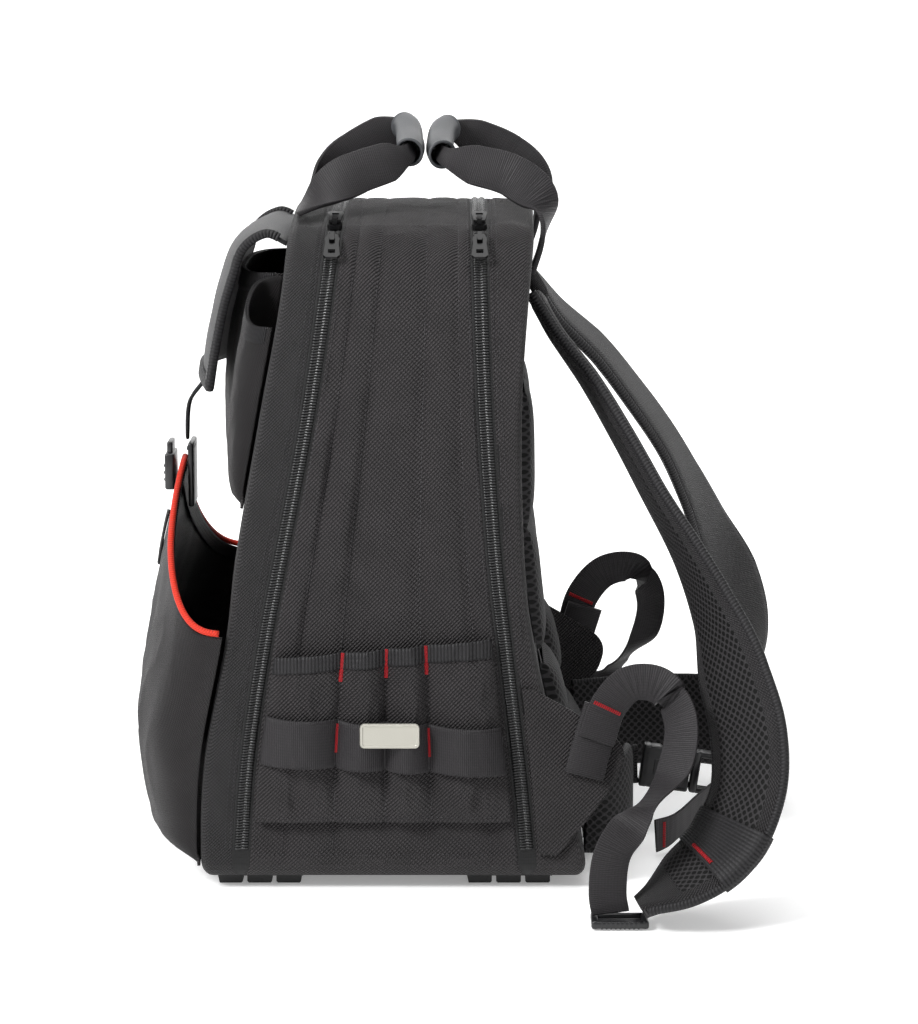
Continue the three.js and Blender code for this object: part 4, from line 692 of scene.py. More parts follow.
def panel(name, column, way):
    """The front or the rear panel, a little slack between its edges."""
    line = half_arch(PANEL_EDGE)
    across = 40
    points, uvs = [], []
    for x, z in line:
        for i in range(across + 1):
            u = 2 * i / across - 1
            inside = (1 - abs(u) ** 4) * smooth((z - BODY_FOOT) / 30) * smooth((SHOULDER - z) / 25)
            slack = 0.25 * inside * folds((u * x, 0, z), 75, 1.0, 3.0) - 0.35 * inside
            points.append(metres((u * x, profile_at(column, z) + way * slack, z)))
            uvs.append((u * x * MM, z * MM))
    return add_mesh(name, points, strip_faces(len(line), across + 1, flip=way > 0), "body", uvs)


def shell(name, column, zip_column, way, material, node):
    """A panel, the rounded edge round it and the wall that runs to the zip."""
    flat = panel(f"{name}_panel", column, way)
    zip_edge = beside(zip_column, way, GAP)

    def edge_ring(turn):
        drop = PANEL_EDGE * (1 - math.cos(turn))
        return PANEL_EDGE * (1 - math.sin(turn)), lambda z: profile_at(column, z) - way * drop, None

    def wall_ring(t):
        def lift(x, y, z):
            if z < STILL_FOOT:
                return 0.0
            slack = math.sin(math.pi * t) ** 0.6
            hem = -0.9 * math.exp(-((t - 0.9) / 0.035) ** 2)
            return slack * (folds((x, y + 0.2 * z, z), 56, 3.0, 1.0 + way, (1, 1.6, 0.7)) - 0.5) + hem

        return 0.0, lambda z: lerp(profile_at(column, z) - way * PANEL_EDGE, zip_edge(z), t), lift

    rings = [edge_ring(math.radians(90 * k / EDGE_STEPS)) for k in range(EDGE_STEPS + 1)]
    rings += [wall_ring(k / WALL_STEPS) for k in range(1, WALL_STEPS + 1)]
    rings.append((HEM, zip_edge, None))
    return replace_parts(join(name, [flat, band(f"{name}_wall", rings, material)]), node)


CHANNELS = (0.12, 0.31, 0.66, 0.90)  # the gusset's sewn lines, as shares of its depth
SIDE_START = 95.0                    # beyond this distance from the middle the gusset is its side


def gusset():
    """The centre gusset: sewn channels run up its sides and its cloth swells between them."""
    front, rear = beside("front_zip", 1, GAP), beside("rear_zip", -1, GAP)

    def ring(share, local, span):
        def lift(x, y, z):
            if z < STILL_FOOT:
                return 0.0
            on_flank = abs(x) > SIDE_START
            free = math.sin(math.pi * local) ** 0.5
            side = math.sqrt(max(math.sin(math.pi * z / BODY_HEIGHT), 0.0)) if on_flank else 0.2
            swell = 3.1 * free * side * min(span / 0.2, 1.0)
            edge = smooth(min(share, 1 - share) / 0.03) * (1.0 if on_flank else 0.3)
            crease = folds((x, y + 0.35 * z, z), 42, 3.8, 5.0, (1, 1.4, 0.55))
            return swell + edge * crease * (0.1 + 0.9 * free) - edge

        return 0.0, lambda z: lerp(front(z), rear(z), share), lift

    lines = (0.0, *CHANNELS, 1.0)
    steps = [i / CHANNEL_STEPS for i in range(CHANNEL_STEPS)]
    rings = [ring(lerp(a, b, t), t, b - a) for a, b in zip(lines, lines[1:]) for t in steps]
    rings.append(ring(1.0, 0.0, 0.1))
    rings = [(HEM, rings[0][1], None), *rings, (HEM, rings[-1][1], None)]
    return band("centre_gusset_cloth", rings, "body", ("centre_gusset",))


TAPE_UNDER = 2.6       # how far a zip's tape runs under the cloth
TAPE_STEPS, TAPE_INSET = 8, 0.25
COIL_PITCH = 1.9
SLIDER_HALF = 8.0      # the coil's turns stop this near to a slider's middle
SLIDER_ANGLES = (56.25, 78.75)  # where the sliders sit on the right upper corner, as in the CAD
COIL_SECTION = [(0.62, 0.0), (0.36, 0.55), (-0.36, 0.55), (-0.62, 0.0), (-0.36, -0.35), (0.36, -0.35)]
COIL_REACH = 4.7
COIL_TURN = [(-COIL_REACH, -0.6), (-4.2, 0.25), (-3.0, 0.75), (-1.5, 0.65), (-0.45, -0.2),
             (0.45, -0.2), (1.5, 0.65), (3.0, 0.75), (4.2, 0.25), (COIL_REACH, -0.6)]


def zip_chain(name, column):
    """Two tapes with a coil of glossy turns over their edges."""
    def tape_ring(k):
        across = lerp(-1, 1, k / TAPE_STEPS)
        inset = TAPE_INSET if 0 < k < TAPE_STEPS else 0.0
        return inset, lambda z: profile_at(column, z) + across * open_half(z), None

    rings = [tape_ring(k) for k in range(TAPE_STEPS + 1)]
    under = [(1.2, beside(column, way, TAPE_UNDER), None) for way in (-1, 1)]
    band(f"{name}_tape", [under[0], *rings, under[1]], "tape", (column,))
    line = arch(0.0)
    along, outs = lengths(line), normals(line, closed=False)
    corner = along[LOW_STEPS + SIDE_STEPS]
    sliders = [corner + math.radians(a) * HIGH_CORNER for a in SLIDER_ANGLES]
    first = next(i for i, (x, z) in enumerate(line) if z > BODY_FOOT + LOW_CORNER)
    start, end = along[first] + 2, along[-1 - first] - 2
    points, faces, uvs = [], [], []
    row = 0
    for n in range(int((end - start) / COIL_PITCH)):
        place = start + n * COIL_PITCH
        while along[row + 1] < place:
            row += 1
        if any(abs(place - middle) < SLIDER_HALF for middle in sliders):
            continue
        t = (place - along[row]) / (along[row + 1] - along[row])
        x, z = (lerp(line[row][i], line[row + 1][i], t) for i in (0, 1))
        nx, nz = (lerp(outs[row][i], outs[row + 1][i], t) for i in (0, 1))
        y = profile_at(column, z)
        faces += strip_faces(len(COIL_TURN), len(COIL_SECTION), closed=True, base=len(points))
        for across, rise in COIL_TURN:
            slant = 0.35 * across / COIL_REACH
            for a, b in COIL_SECTION:
                out, run = rise + b * 0.62, a + slant
                points.append(metres((x + nx * out - nz * run, y + across, z + nz * out + nx * run)))
                uvs.append((across * MM, a * MM))
    outward(add_mesh(f"{name}_coil", points, faces, "coil", uvs))


STITCH_PITCH, STITCH_LENGTH, STITCH_WIDTH, STITCH_RISE, STITCH_SINK = 3.3, 2.3, 0.6, 0.42, 0.3


def stitches(name, target, line):
    """A row of thread stitches that lies on target along a line of points."""
    tree = BVHTree.FromPolygons([v.co for v in target.data.vertices],
                                [tuple(p.vertices) for p in target.data.polygons])
    line = [Vector(p) for p in line]
    run = [0.0]
    for a, b in zip(line, line[1:]):
        run.append(run[-1] + (b - a).length)
    points, faces = [], []
    row = 0
    place = STITCH_PITCH / 2
    while place + STITCH_LENGTH < run[-1]:
        ends = []
        for at in (place, place + STITCH_LENGTH):
            while run[row + 1] < at:
                row += 1
            t = (at - run[row]) / (run[row + 1] - run[row])
            ends.append(tree.find_nearest(metres(line[row].lerp(line[row + 1], t)))[:2])
        row = max(row - 1, 0)
        place += STITCH_PITCH
        (a, na), (b, nb) = ends
        along = b - a
        if along.length < 1e-5 or along.length > 3 * STITCH_LENGTH * MM:
            continue
        out = (na + nb).normalized() * (STITCH_RISE * MM)
        across = along.cross(out).normalized() * (STITCH_WIDTH / 2 * MM)
        middle, low = (a + b) / 2, -STITCH_SINK * out
        base = len(points)
        points += [a + low, b + low, middle + across, middle - across,
                   middle + out - along * 0.3, middle + out + along * 0.3]
        faces += [tuple(base + i for i in face)
                  for face in ((0, 2, 4), (4, 2, 5), (5, 2, 1), (0, 4, 3), (4, 5, 3), (5, 1, 3))]
    add_mesh(name, points, faces, "thread")


def arch_line(depth):
    """Points round the body over its bottom corners, at a depth from the height."""
    return [(x, depth(z), z) for x, z in arch(0.0) if z > BODY_FOOT + LOW_CORNER]


front_shell = shell("front_cloth", "front", "front_zip", -1, "strip", "front_shell")
rear_shell = shell("rear_cloth", "back", "rear_zip", 1, "body", "rear_shell")
gusset_cloth = gusset()
zip_chain("front_chain", "front_zip")
zip_chain("rear_chain", "rear_zip")

HEM_SEAMS = (2.2, 5.4)     # rows of stitches beside a zip, from its opening
FOOT_SEAMS = (26.0, 49.0)  # heights of the rows of stitches over the gusset's foot

for name, cloth, outer in (("front", front_shell, -1), ("rear", rear_shell, 1)):
    for k, off in enumerate(HEM_SEAMS):
        stitches(f"{name}_shell_stitches_{k}", cloth, arch_line(beside(f"{name}_zip", outer, off)))
    stitches(f"{name}_gusset_stitches", gusset_cloth, arch_line(beside(f"{name}_zip", -outer, HEM_SEAMS[0])))
for k, share in enumerate(CHANNELS):
    front, rear = beside("front_zip", 1), beside("rear_zip", -1)
    stitches(f"channel_stitches_{k}", gusset_cloth, arch_line(lambda z: lerp(front(z), rear(z), share)))
for k, level in enumerate(FOOT_SEAMS):
    start = profile_at("front_zip", level) + ZIP_WIDTH / 2
    end = profile_at("rear_zip", level) - ZIP_WIDTH / 2
    for side, way in SIDES:
        stitches(f"low_stitches_{side}_{k}", gusset_cloth,
                 [(way * (BASE_WIDTH / 2 + 1), lerp(start, end, i / 40), level) for i in range(41)])


def give_finish(node, material):
    """A CAD node keeps its shape and gets a better material."""
    materials = bpy.data.objects[node].data.materials
    materials.clear()
    materials.append(MATERIALS[material])


for zip_name in ("front_zip", "rear_zip"):
    for part in ("low_slider", "low_pull", "high_slider", "high_pull"):
        give_finish(f"{zip_name}_{part}", "slider")
for corner in ("front_right", "front_left", "rear_right", "rear_left"):
    give_finish(f"foot_{corner}", "rubber")


# Front and upper pockets, flap and their fastenings

POCKET_WIDTH = 314.0
POCKET_DEPTH = 60.0
POCKET_FOOT = 17.0
POCKET_SIDE_HEIGHT = 0.386 * BODY_HEIGHT
POCKET_RIM_HEIGHT = 0.594 * BODY_HEIGHT
SWELL = {"rise": [0.0, 0.07, 0.17, 0.31, 0.48, 0.71, 0.94, 1.0],
         "swell": [0.0, 0.60, 0.74, 0.86, 0.98, 1.0, 0.92, 0.89]}
UPPER_SWELL = {"rise": [0.0, 0.08, 0.40, 0.72, 1.0], "swell": [0.0, 0.48, 0.86, 1.0, 0.94]}
CLOTH = 2.0
ROUNDING = 0.75        # how a pocket's plan goes from a circle to a flatter front
WALL_CLEAR = 2.2       # the least room between a pocket's cloth and the panel behind it


def plan(u):
    """A pocket's plan: how far across, from -1 to 1, and the cosine that its depth goes with."""
    angle = math.pi * (u - 0.5)
    return math.copysign(abs(math.sin(angle)) ** ROUNDING, math.sin(angle)), max(math.cos(angle), 0.0)


def front_pocket_wall(u, v, slack=0.0):
    share, cosine = plan(u)
    x = POCKET_WIDTH / 2 * share
    reach = 1 - min(abs(2 * x / POCKET_WIDTH), 1.0) ** 1.35
    z = lerp(POCKET_FOOT, lerp(POCKET_SIDE_HEIGHT, POCKET_RIM_HEIGHT, reach), v)
    swell = read_table(SWELL, "rise", "swell", v) * cosine ** 0.7
    panel_y = profile_at("front", z) - GAP
    point = Vector((x, panel_y - POCKET_DEPTH * swell, z))
    if slack:
        inside = math.sin(math.pi * min(max(v, 0), 1)) ** 0.5 * cosine ** 0.5
        place = (point.x, 0, point.z + 0.4 * point.x)
        point.y -= slack * inside * (folds(place, 58, 5.5, 9.0, (1.3, 1, 0.6)) - 1.6)
        point.y = min(point.y, panel_y - WALL_CLEAR)
    return point


def pocket_binding(u, v):
    point = front_pocket_wall(lerp(0.06, 0.94, u), lerp(0.935, 0.999, v))
    return point + Vector((0, CLOTH + GAP + 0.3, 0))


def pocket_rim(u, raise_by):
    point = front_pocket_wall(u, 1.0)
    point.z += raise_by
    point.y = min(point.y + CLOTH / 2, profile_at("front", point.z) - 2.5)
    return point


sheet("front_pocket_cloth", lambda u, v: front_pocket_wall(u, v, 1.0), 110, 70, CLOTH, 1, "pocket",
      lambda u, v, p: (u * 0.42, p.z * MM), ("front_pocket",))
sheet("front_pocket_inner_binding", pocket_binding, 90, 6, 1.3, 1, "grosgrain",
      lambda u, v, p: (v * 0.016, u * 0.5), ("front_pocket_binding",))
piping_path = [pocket_rim(0.012 + 0.976 * i / 120, 2.8) for i in range(121)]
loft("front_pocket_piping_cord", path_frames(piping_path, (0, -1, 0)), circle(12), "piping", 4.4, 4.4,
     ("front_pocket_piping",))


def pouch(middle, width, depth, foot, top, slant=0.0, seed=0.0):
    def wall(u, v):
        share, cosine = plan(u)
        z = lerp(foot, top - slant * share, v)
        panel_y = profile_at("front", z) - GAP
        y = panel_y - depth * read_table(UPPER_SWELL, "rise", "swell", v) * cosine ** 0.6
        inside = math.sin(math.pi * v * 0.9) ** 0.5 * cosine ** 0.5
        y -= inside * (folds((middle + share * width, y, z), 40, 2.2, seed) - 0.5)
        return Vector((middle + share * width / 2, min(y, panel_y - WALL_CLEAR), z))
    return wall


def pouch_piece(name, wall):
    sheet(f"{name}_cloth", wall, 48, 44, CLOTH, 1, "pocket", lambda u, v, p: (u * 0.19, p.z * MM), (name,))
    sheet(f"{name}_binding",
          lambda u, v: wall(lerp(0.02, 0.98, u), lerp(0.91, 1.0, v)) + Vector((0, -0.7, 0.4 * v)),
          48, 5, 1.0, 1, "grosgrain", lambda u, v, p: (v * 0.014, u * 0.2))


UPPER_FOOT, UPPER_TOP, SIDE_UPPER_TOP = 0.5746 * BODY_HEIGHT, 0.908 * BODY_HEIGHT, 0.873 * BODY_HEIGHT
UPPER_WIDTH, SIDE_UPPER_WIDTH = 168, 58
pouch_piece("upper_pocket", pouch(0, UPPER_WIDTH, 36, UPPER_FOOT, UPPER_TOP, 0, 2.0))
for side, way in SIDES:
    middle = way * (UPPER_WIDTH / 2 + 2 * GAP + SIDE_UPPER_WIDTH / 2)
    pouch_piece(f"upper_side_pocket_{side}",
                pouch(middle, SIDE_UPPER_WIDTH, 24, UPPER_FOOT, SIDE_UPPER_TOP, 14 * way, 4.0 + way))

FLAP_WIDTH, FLAP_REACH, FLAP_DROP = 180.0, 66.0, 0.215 * BODY_HEIGHT
FLAP_ROOT = 0.956 * BODY_HEIGHT
FLAP_THICKNESS, FLAP_EDGE = 3.0, 8.0
FLAP_LINE = {"share": [0, 0.2, 0.4, 0.6, 0.8, 1.0], "reach": [0, 0.30, 0.62, 0.80, 0.92, 1.0],
             "drop": [0, -0.07, 0.05, 0.34, 0.68, 1.0]}


def flap_face(u, v):
    side = 2 * u - 1
    bow = 0.16 * FLAP_REACH * side * side * min(2 * v, 1)
    drop = read_table(FLAP_LINE, "share", "drop", v)
    z = FLAP_ROOT - drop * FLAP_DROP - 0.04 * FLAP_DROP * side * side * v
    reach = read_table(FLAP_LINE, "share", "reach", v) * FLAP_REACH
    return Vector((side * FLAP_WIDTH / 2, profile_at("front", FLAP_ROOT) - GAP - reach + bow, z))


def soft_flap(u, v):
    point = flap_face(u, v)
    inside = math.sin(math.pi * u) ** 0.5 * math.sin(math.pi * v) ** 0.6
    point.y -= inside * folds(point, 60, 1.6, 6.0)
    point.y = min(point.y, profile_at("front", min(point.z, SHOULDER)) - GAP - 0.2)
    return point


sheet("flap_cloth", soft_flap, 60, 50, FLAP_THICKNESS, -1, "flap", replaces=("flap",))


def flap_binding():
    """A thick ribbed binding, folded over the flap's two sides and its free edge."""
    down = [lerp(0.08, 0.985, i / 59) for i in range(60)]
    edge = [(0.0, v) for v in down] + [(lerp(0.015, 0.985, i / 69), 1.0) for i in range(70)]
    edge += [(1.0, v) for v in down[::-1]]
    ring = [(-0.4, -FLAP_THICKNESS - 0.4), (-1.1, -FLAP_THICKNESS / 2), (-0.9, 1.2), (0.6, 2.5),
            (FLAP_EDGE - 1.2, 2.5), (FLAP_EDGE, 1.0), (FLAP_EDGE, 0.1)]
    size, rise, step = FLAP_EDGE / FLAP_WIDTH, FLAP_EDGE / (FLAP_DROP + FLAP_REACH), 0.004
    points, uvs = [], []
    length = 0.0
    last = None
    for u, v in edge:
        du = size if u == 0.0 else -size if u == 1.0 else 0.0
        dv = -rise if v == 1.0 else 0.0
        place = flap_face(u, v)
        length += (place - last).length if last else 0.0
        last = place
        a = flap_face(min(u + step, 1), v) - flap_face(max(u - step, 0), v)
        b = flap_face(u, min(v + step, 1)) - flap_face(u, max(v - step, 0))
        out = b.cross(a).normalized()
        inward = (flap_face(min(max(u + du, 0), 1), min(max(v + dv, 0), 1)) - place).normalized()
        for k, (side, lift) in enumerate(ring):
            points.append(metres(place + inward * side + out * lift))
            uvs.append((k * 0.003, length * MM))
    faces = strip_faces(len(edge), len(ring))
    outward(add_mesh("flap_edge_binding", points, faces, "grosgrain", uvs, ("flap_binding",)))


flap_binding()


def rounded_box(name, size, centre, bevel, turn):
    """A moulded block with rounded edges."""
    mesh = bmesh.new()
    bmesh.ops.create_cube(mesh, size=1.0)
    bmesh.ops.scale(mesh, vec=Vector(size) * MM, verts=mesh.verts)
    bmesh.ops.bevel(mesh, geom=mesh.edges[:], offset=bevel * MM, segments=3, profile=0.5, affect="EDGES")
    place = Matrix.Translation(metres(centre)) @ turn.to_4x4()
    bmesh.ops.transform(mesh, matrix=place, verts=mesh.verts)
    data = bpy.data.meshes.new(name)
    mesh.to_mesh(data)
    mesh.free()
    points = [v.co.copy() for v in data.vertices]
    return add_mesh(name, points, [tuple(p.vertices) for p in data.polygons], "plastic")


def moulding(name, origin, parts, replaced, turn=Matrix.Identity(3)):
    """Rounded blocks joined into one moulding; parts hold a size, a centre and the rounding."""
    blocks = [rounded_box(f"{name}_{k}", size, origin + turn @ Vector(centre), bevel, turn)
              for k, (size, centre, bevel) in enumerate(parts)]
    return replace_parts(join(name, blocks), replaced)


rim_front = front_pocket_wall(0.5, 1.0)
out = front_pocket_wall(0.5, 0.94).y - 1.0
catch_parts = [((30, 7, 26), (0, -3.5, -6), 1.6), ((22, 4, 12), (0, -3.5, 9), 1.2)]
catch_parts += [((24, 1.6, 2.2), (0, -7.1, rise), 0.7) for rise in (-12, -7, -2)]
moulding("front_catch", Vector((0, out, rim_front.z)), catch_parts, "front_buckle")
moulding("pocket_tongue", Vector((0, rim_front.y + CLOTH + 3.4 + 3 * GAP, rim_front.z)),
         [((34, 4, 46), (0, 0, -8), 1.4), ((30, 5, 3), (0, -0.5, 11), 1.0)], "front_pocket_tab")


def stub(u, v):
    x = (u - 0.5) * WEBBING
    share = 0.5 + math.copysign(math.asin(abs(2 * x / POCKET_WIDTH) ** (1 / ROUNDING)), x) / math.pi
    return front_pocket_wall(share, lerp(0.72, 0.86, v), 1.0) + Vector((0, -2.6, 0))


sheet("front_catch_strap", stub, 6, 20, 1.8, 1, "webbing", lambda u, v, p: (u * 0.025, p.z * MM),
      ("front_buckle_strap",))

CORD = 2.6
CORD_HALF = 9.0        # half the distance between the cord's two runs
tip = flap_face(0.5, 1.0)
behind = tip.y + FLAP_THICKNESS + CORD / 2 + 4 * GAP
cord_rows = [(1, behind, tip.z + 6), (1, behind, tip.z - 3),
             (0.85, lerp(behind, rim_front.y, 0.35), tip.z - 12),
             (0.6, lerp(behind, rim_front.y, 0.75), tip.z - 24),
             (0.3, rim_front.y + 3, rim_front.z + 20), (0, rim_front.y + 3, rim_front.z + 16.3)]
cord_line = [Vector((s * CORD_HALF, y, z)) for s, y, z in cord_rows]
cord_line += [Vector((-p.x, p.y, p.z)) for p in cord_line[-2::-1]]
cord_path = [catmull(cord_line, i / 90) for i in range(91)]
loft("elastic_loop", path_frames(cord_path, (0.01, -1, 0.01)), circle(12), "elastic", CORD, CORD,
     ("elastic_cord",))


# Side pockets with pleats, a bound rim, loops of webbing and bar tacks

PLEATS = [0.0, 0.31, 0.51, 0.69, 1.0]
SIDE_FOOT, SIDE_FRONT, SIDE_REAR = 50.0, 163.0, 176.0
LOOP, LOOP_MIDDLE, LOOP_SLOPE = 33.0, 108.0, 8.0


def side_at(z):
    share = (z - BODY_FOOT - LOW_CORNER) / (SHOULDER - HIGH_CORNER - BODY_FOOT - LOW_CORNER)
    return lerp(BASE_WIDTH, TOP_WIDTH, share) / 2


def pleat_swell(share):
    row = next((i for i in range(1, 5) if share <= PLEATS[i] + 1e-6), 4)
    local = (share - PLEATS[row - 1]) / (PLEATS[row] - PLEATS[row - 1])
    return max(math.sin(math.pi * local), 0.0) ** 0.7


def side_top(share):
    return lerp(SIDE_FRONT, SIDE_REAR, share)


def side_rise(u, z):
    """A height as a share of the side pocket's own height."""
    return (z - SIDE_FOOT) / (side_top(u) - SIDE_FOOT)


def side_wall(way, slack=1.0):
    front, rear = beside("front_zip", 1, GAP + 2), beside("rear_zip", -1, GAP + 2)

    def wall(u, v):
        z = lerp(SIDE_FOOT, side_top(u), v)
        pleat = pleat_swell(u)
        swell = 9.0 * pleat * math.sin(math.pi * (0.08 + 0.72 * v))
        inside = min(pleat, 1.0) * smooth(v / 0.1) * slack
        swell += inside * (folds((0, u * 150, z), 22, 3.8, 3.0 + way, (1, 1.5, 0.5)) - 0.6)
        out = side_at(z) + 2.5 + GAP + CLOTH + max(swell, 0.0)
        return Vector((way * out, lerp(front(z), rear(z), u), z))
    return wall


def loop_wall(way, lift=0.0):
    under = side_wall(way, 0.3)

    def wall(u, v):
        point = under(u, side_rise(u, LOOP_MIDDLE - LOOP_SLOPE * u + (v - 0.5) * LOOP))
        point.x += way * (2.2 + 2 * GAP + lift + 4.0 * pleat_swell(u))
        return point
    return wall


TACK_ROW = 0.7         # from one thread of a side tack to the next


def tack(name, place_at, u, low, high, way, width=3.2):
    """A bar tack of red thread down a stitched line; place_at gives a point from u and the height."""
    points, faces = [], []
    rows = int((high - low) / TACK_ROW)
    for j in range(rows):
        faces += strip_faces(4, 2, base=8 * j)
        for a, b in ((-1, 0.0), (-0.6, 0.9), (0.6, 0.9), (1, 0.0)):
            for edge in (0.0, 0.62):
                place = place_at(u, lerp(low, high, j / rows) + edge)
                points.append(metres(place + Vector((way * (0.25 + b * 0.8), a * width / 2, 0))))
    outward(add_mesh(name, points, faces, "red", [(p[1], p[2]) for p in points]))


def side_pocket(side, way):
    wall, loop, tack_loop = side_wall(way), loop_wall(way), loop_wall(way, 1.0)
    cloth = sheet(f"side_pocket_cloth_{side}", wall, 120, 60, CLOTH, way, "body",
                  replaces=(f"side_pocket_{side}",))
    for k, u in enumerate(PLEATS[1:4]):
        stitches(f"pleat_stitches_{side}_{k}", cloth, [wall(u, v / 20) for v in range(19)])
    stitches(f"foot_stitches_{side}", cloth, [wall(u / 60, 0.03) for u in range(61)])
    sheet(f"side_pocket_rim_{side}",
          lambda u, v: wall(u, lerp(0.905, 1.0, v)) + Vector((way * 0.8, 0, 0.5 * v)),
          120, 6, 1.2, way, "grosgrain", lambda u, v, p: (v * 0.013, p.y * MM))
    sheet(f"loop_webbing_{side}", loop, 120, 12, 1.6, way, "webbing",
          lambda u, v, p: (v * 0.033, p.y * MM), (f"side_loop_band_{side}",))
    for k, u in enumerate(PLEATS[1:4]):
        tack(f"rim_tack_{side}_{k}", lambda s, z: wall(s, side_rise(s, z)) + Vector((way * 1.2, 0, 0)),
             u, side_top(u) - 19.5, side_top(u) + 0.3, way)
        if k != 1:
            middle = LOOP_MIDDLE - LOOP_SLOPE * u
            tack(f"loop_tack_{side}_{k}",
                 lambda s, z: tack_loop(s, (z - LOOP_MIDDLE + LOOP_SLOPE * s) / LOOP + 0.5),
                 u, middle - 6, middle + 14, way)


for side, way in SIDES:
    side_pocket(side, way)


def metal_plate(middle, length, height, thickness, radius=3.2):
    """A bare plate with rounded corners whose face is pressed in a little within its rim."""
    rings = [(0.0, -0.5), (0.0, 0.2), (0.35, 0.5), (1.7, 0.5), (2.2, 0.22), (length, 0.22)]
    points = []
    for inset, level in rings:
        for cy, cz, start in ((1, 1, 0), (-1, 1, 90), (-1, -1, 180), (1, -1, 270)):
            for k in range(7):
                angle = math.radians(start + 15 * k)
                corner = max(radius - inset, 0.4)
                half_y, half_z = length / 2 - inset - corner, height / 2 - inset - corner
                if inset >= length:
                    half_y, half_z, corner = length / 2 - 7, 0.4, 0.3
                points.append(metres(middle + Vector((
                    level * thickness, cy * half_y + corner * math.cos(angle),
                    cz * half_z + corner * math.sin(angle)))))
    faces = strip_faces(len(rings), 28, closed=True) + end_caps(len(rings), 28)
    piece = outward(add_mesh("metal_plate", points, faces, "plate", replaces=("side_plate",)))
    piece.modifiers.new("sharp", "EDGE_SPLIT").split_angle = math.radians(40)
    apply_modifiers(piece)


def node_middle(node):
    low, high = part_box(node)
    return ((low + high) / 2 - SHIFT) / MM


metal_plate(node_middle("side_plate"), 40, 17, 1.6)


# Back pads

PAD_UNIT = 10.0        # a back pad's thickness is given as shares of this
PAD_ACROSS, PAD_UP = 36, 30


def pad_cloth(name, bulges, way, node):
    """A padded cushion of air mesh on the rear panel, pinched between its bulges."""
    points, uvs = [], []
    for order, (inner, outer, low, high, thick) in enumerate(bulges):
        for j in range(min(order, 1), PAD_UP + 1):
            z = lerp(low, high, j / PAD_UP) * BODY_HEIGHT
            rise = 2 * j / PAD_UP - 1
            for i in range(PAD_ACROSS + 1):
                side = 2 * i / PAD_ACROSS - 1
                dome = math.sqrt(max((1 - abs(side) ** 3) * (1 - abs(rise) ** 3), 0))
                x = way * TOP_WIDTH / 2 * lerp(inner, outer, 0.5 + side * (0.5 - 0.04 * rise ** 4))
                edge = smooth((1 - abs(side)) / 0.06)
                height = thick * PAD_UNIT * (0.22 * edge + 0.78 * dome)
                points.append(metres((x, profile_at("back", z) + GAP + height + 0.2, z)))
                uvs.append((x * MM, z * MM))
    faces = strip_faces(len(points) // (PAD_ACROSS + 1), PAD_ACROSS + 1, flip=way > 0)
    add_mesh(name, points, faces, "mesh", uvs, (node,))


# Each bulge: its inner and outer side, its foot and its top, as shares, and its thickness
BACK_PADS = {"back_pad": [(0.08, 0.76, 0.345, 0.530, 1.1), (0.08, 0.74, 0.530, 0.735, 1.0)],
             "back_pad_lower": [(0.30, 0.84, 0.215, 0.330, 1.3)]}
for name, bulges in BACK_PADS.items():
    for side, way in SIDES:
        pad_cloth(f"{name}_cloth_{side}", bulges, way, f"{name}_{side}")
pad_cloth("lumbar_cloth", [(-0.62, 0.62, 0.035, 0.200, 1.9)], 1, "lumbar_pad")


# Handles

HANDLE_WIDTH, HANDLE_THICKNESS = 29, 3.6
GRIP, GRIP_WALL, GRIP_HALF = 19, 1.9, 49.0  # a grip's diameter, its wall and half its length
for name in ("front", "rear"):
    route = Route(ROUTES[f"{name}_handle"])
    loft(f"{name}_handle_webbing", route.frames(120), FLAT, "webbing", HANDLE_WIDTH,
         HANDLE_THICKNESS, (f"{name}_handle_strap",))
    frames = route.frames(400)
    run = [0.0]
    for a, b in zip(frames, frames[1:]):
        run.append(run[-1] + (b[0] - a[0]).length)
    tube = [(*frame[:4], Vector((1, 1, 0))) for frame, at in zip(frames, run)
            if abs(at - run[-1] / 2) <= GRIP_HALF]

    def lip(k, a, b, count=len(tube)):
        from_end = min(k, count - 1 - k) / count
        size = 1.0 + 0.06 * math.exp(-(from_end / 0.02) ** 2)
        return a * size, b * size

    thicken(loft(f"{name}_grip_skin", tube, circle(28), "sleeve", GRIP, GRIP,
                 (f"{name}_handle_grip",), caps=False, shape=lip), GRIP_WALL)


# Shoulder straps, their webbing and the wings that anchor it

PAD_CORNER = [(-0.5, -0.2), (-0.47, -0.36), (-0.40, -0.46), (-0.2, -0.5)]
PAD_OUTLINE = PAD_CORNER + [(-a, b) for a, b in PAD_CORNER[::-1]]
PAD_OUTLINE += [(-a, -b) for a, b in PAD_OUTLINE]
STRAP_WIDTH, STRAP_THICKNESS, TAPE_THICKNESS = 62, 11, 1.8


def edge_rope(name, route, width, side, radius, steps, end=1.0):
    """A ribbed binding along one edge of a pad."""
    path = []
    for k in range(steps + 1):
        place, _, across, _, scale = route.at(end * k / steps)
        path.append(place + across * (side * width / 2 * scale.x))
    loft(name, path_frames(path, (0.3, 0.4, 1)), circle(12), "grosgrain", radius, radius)


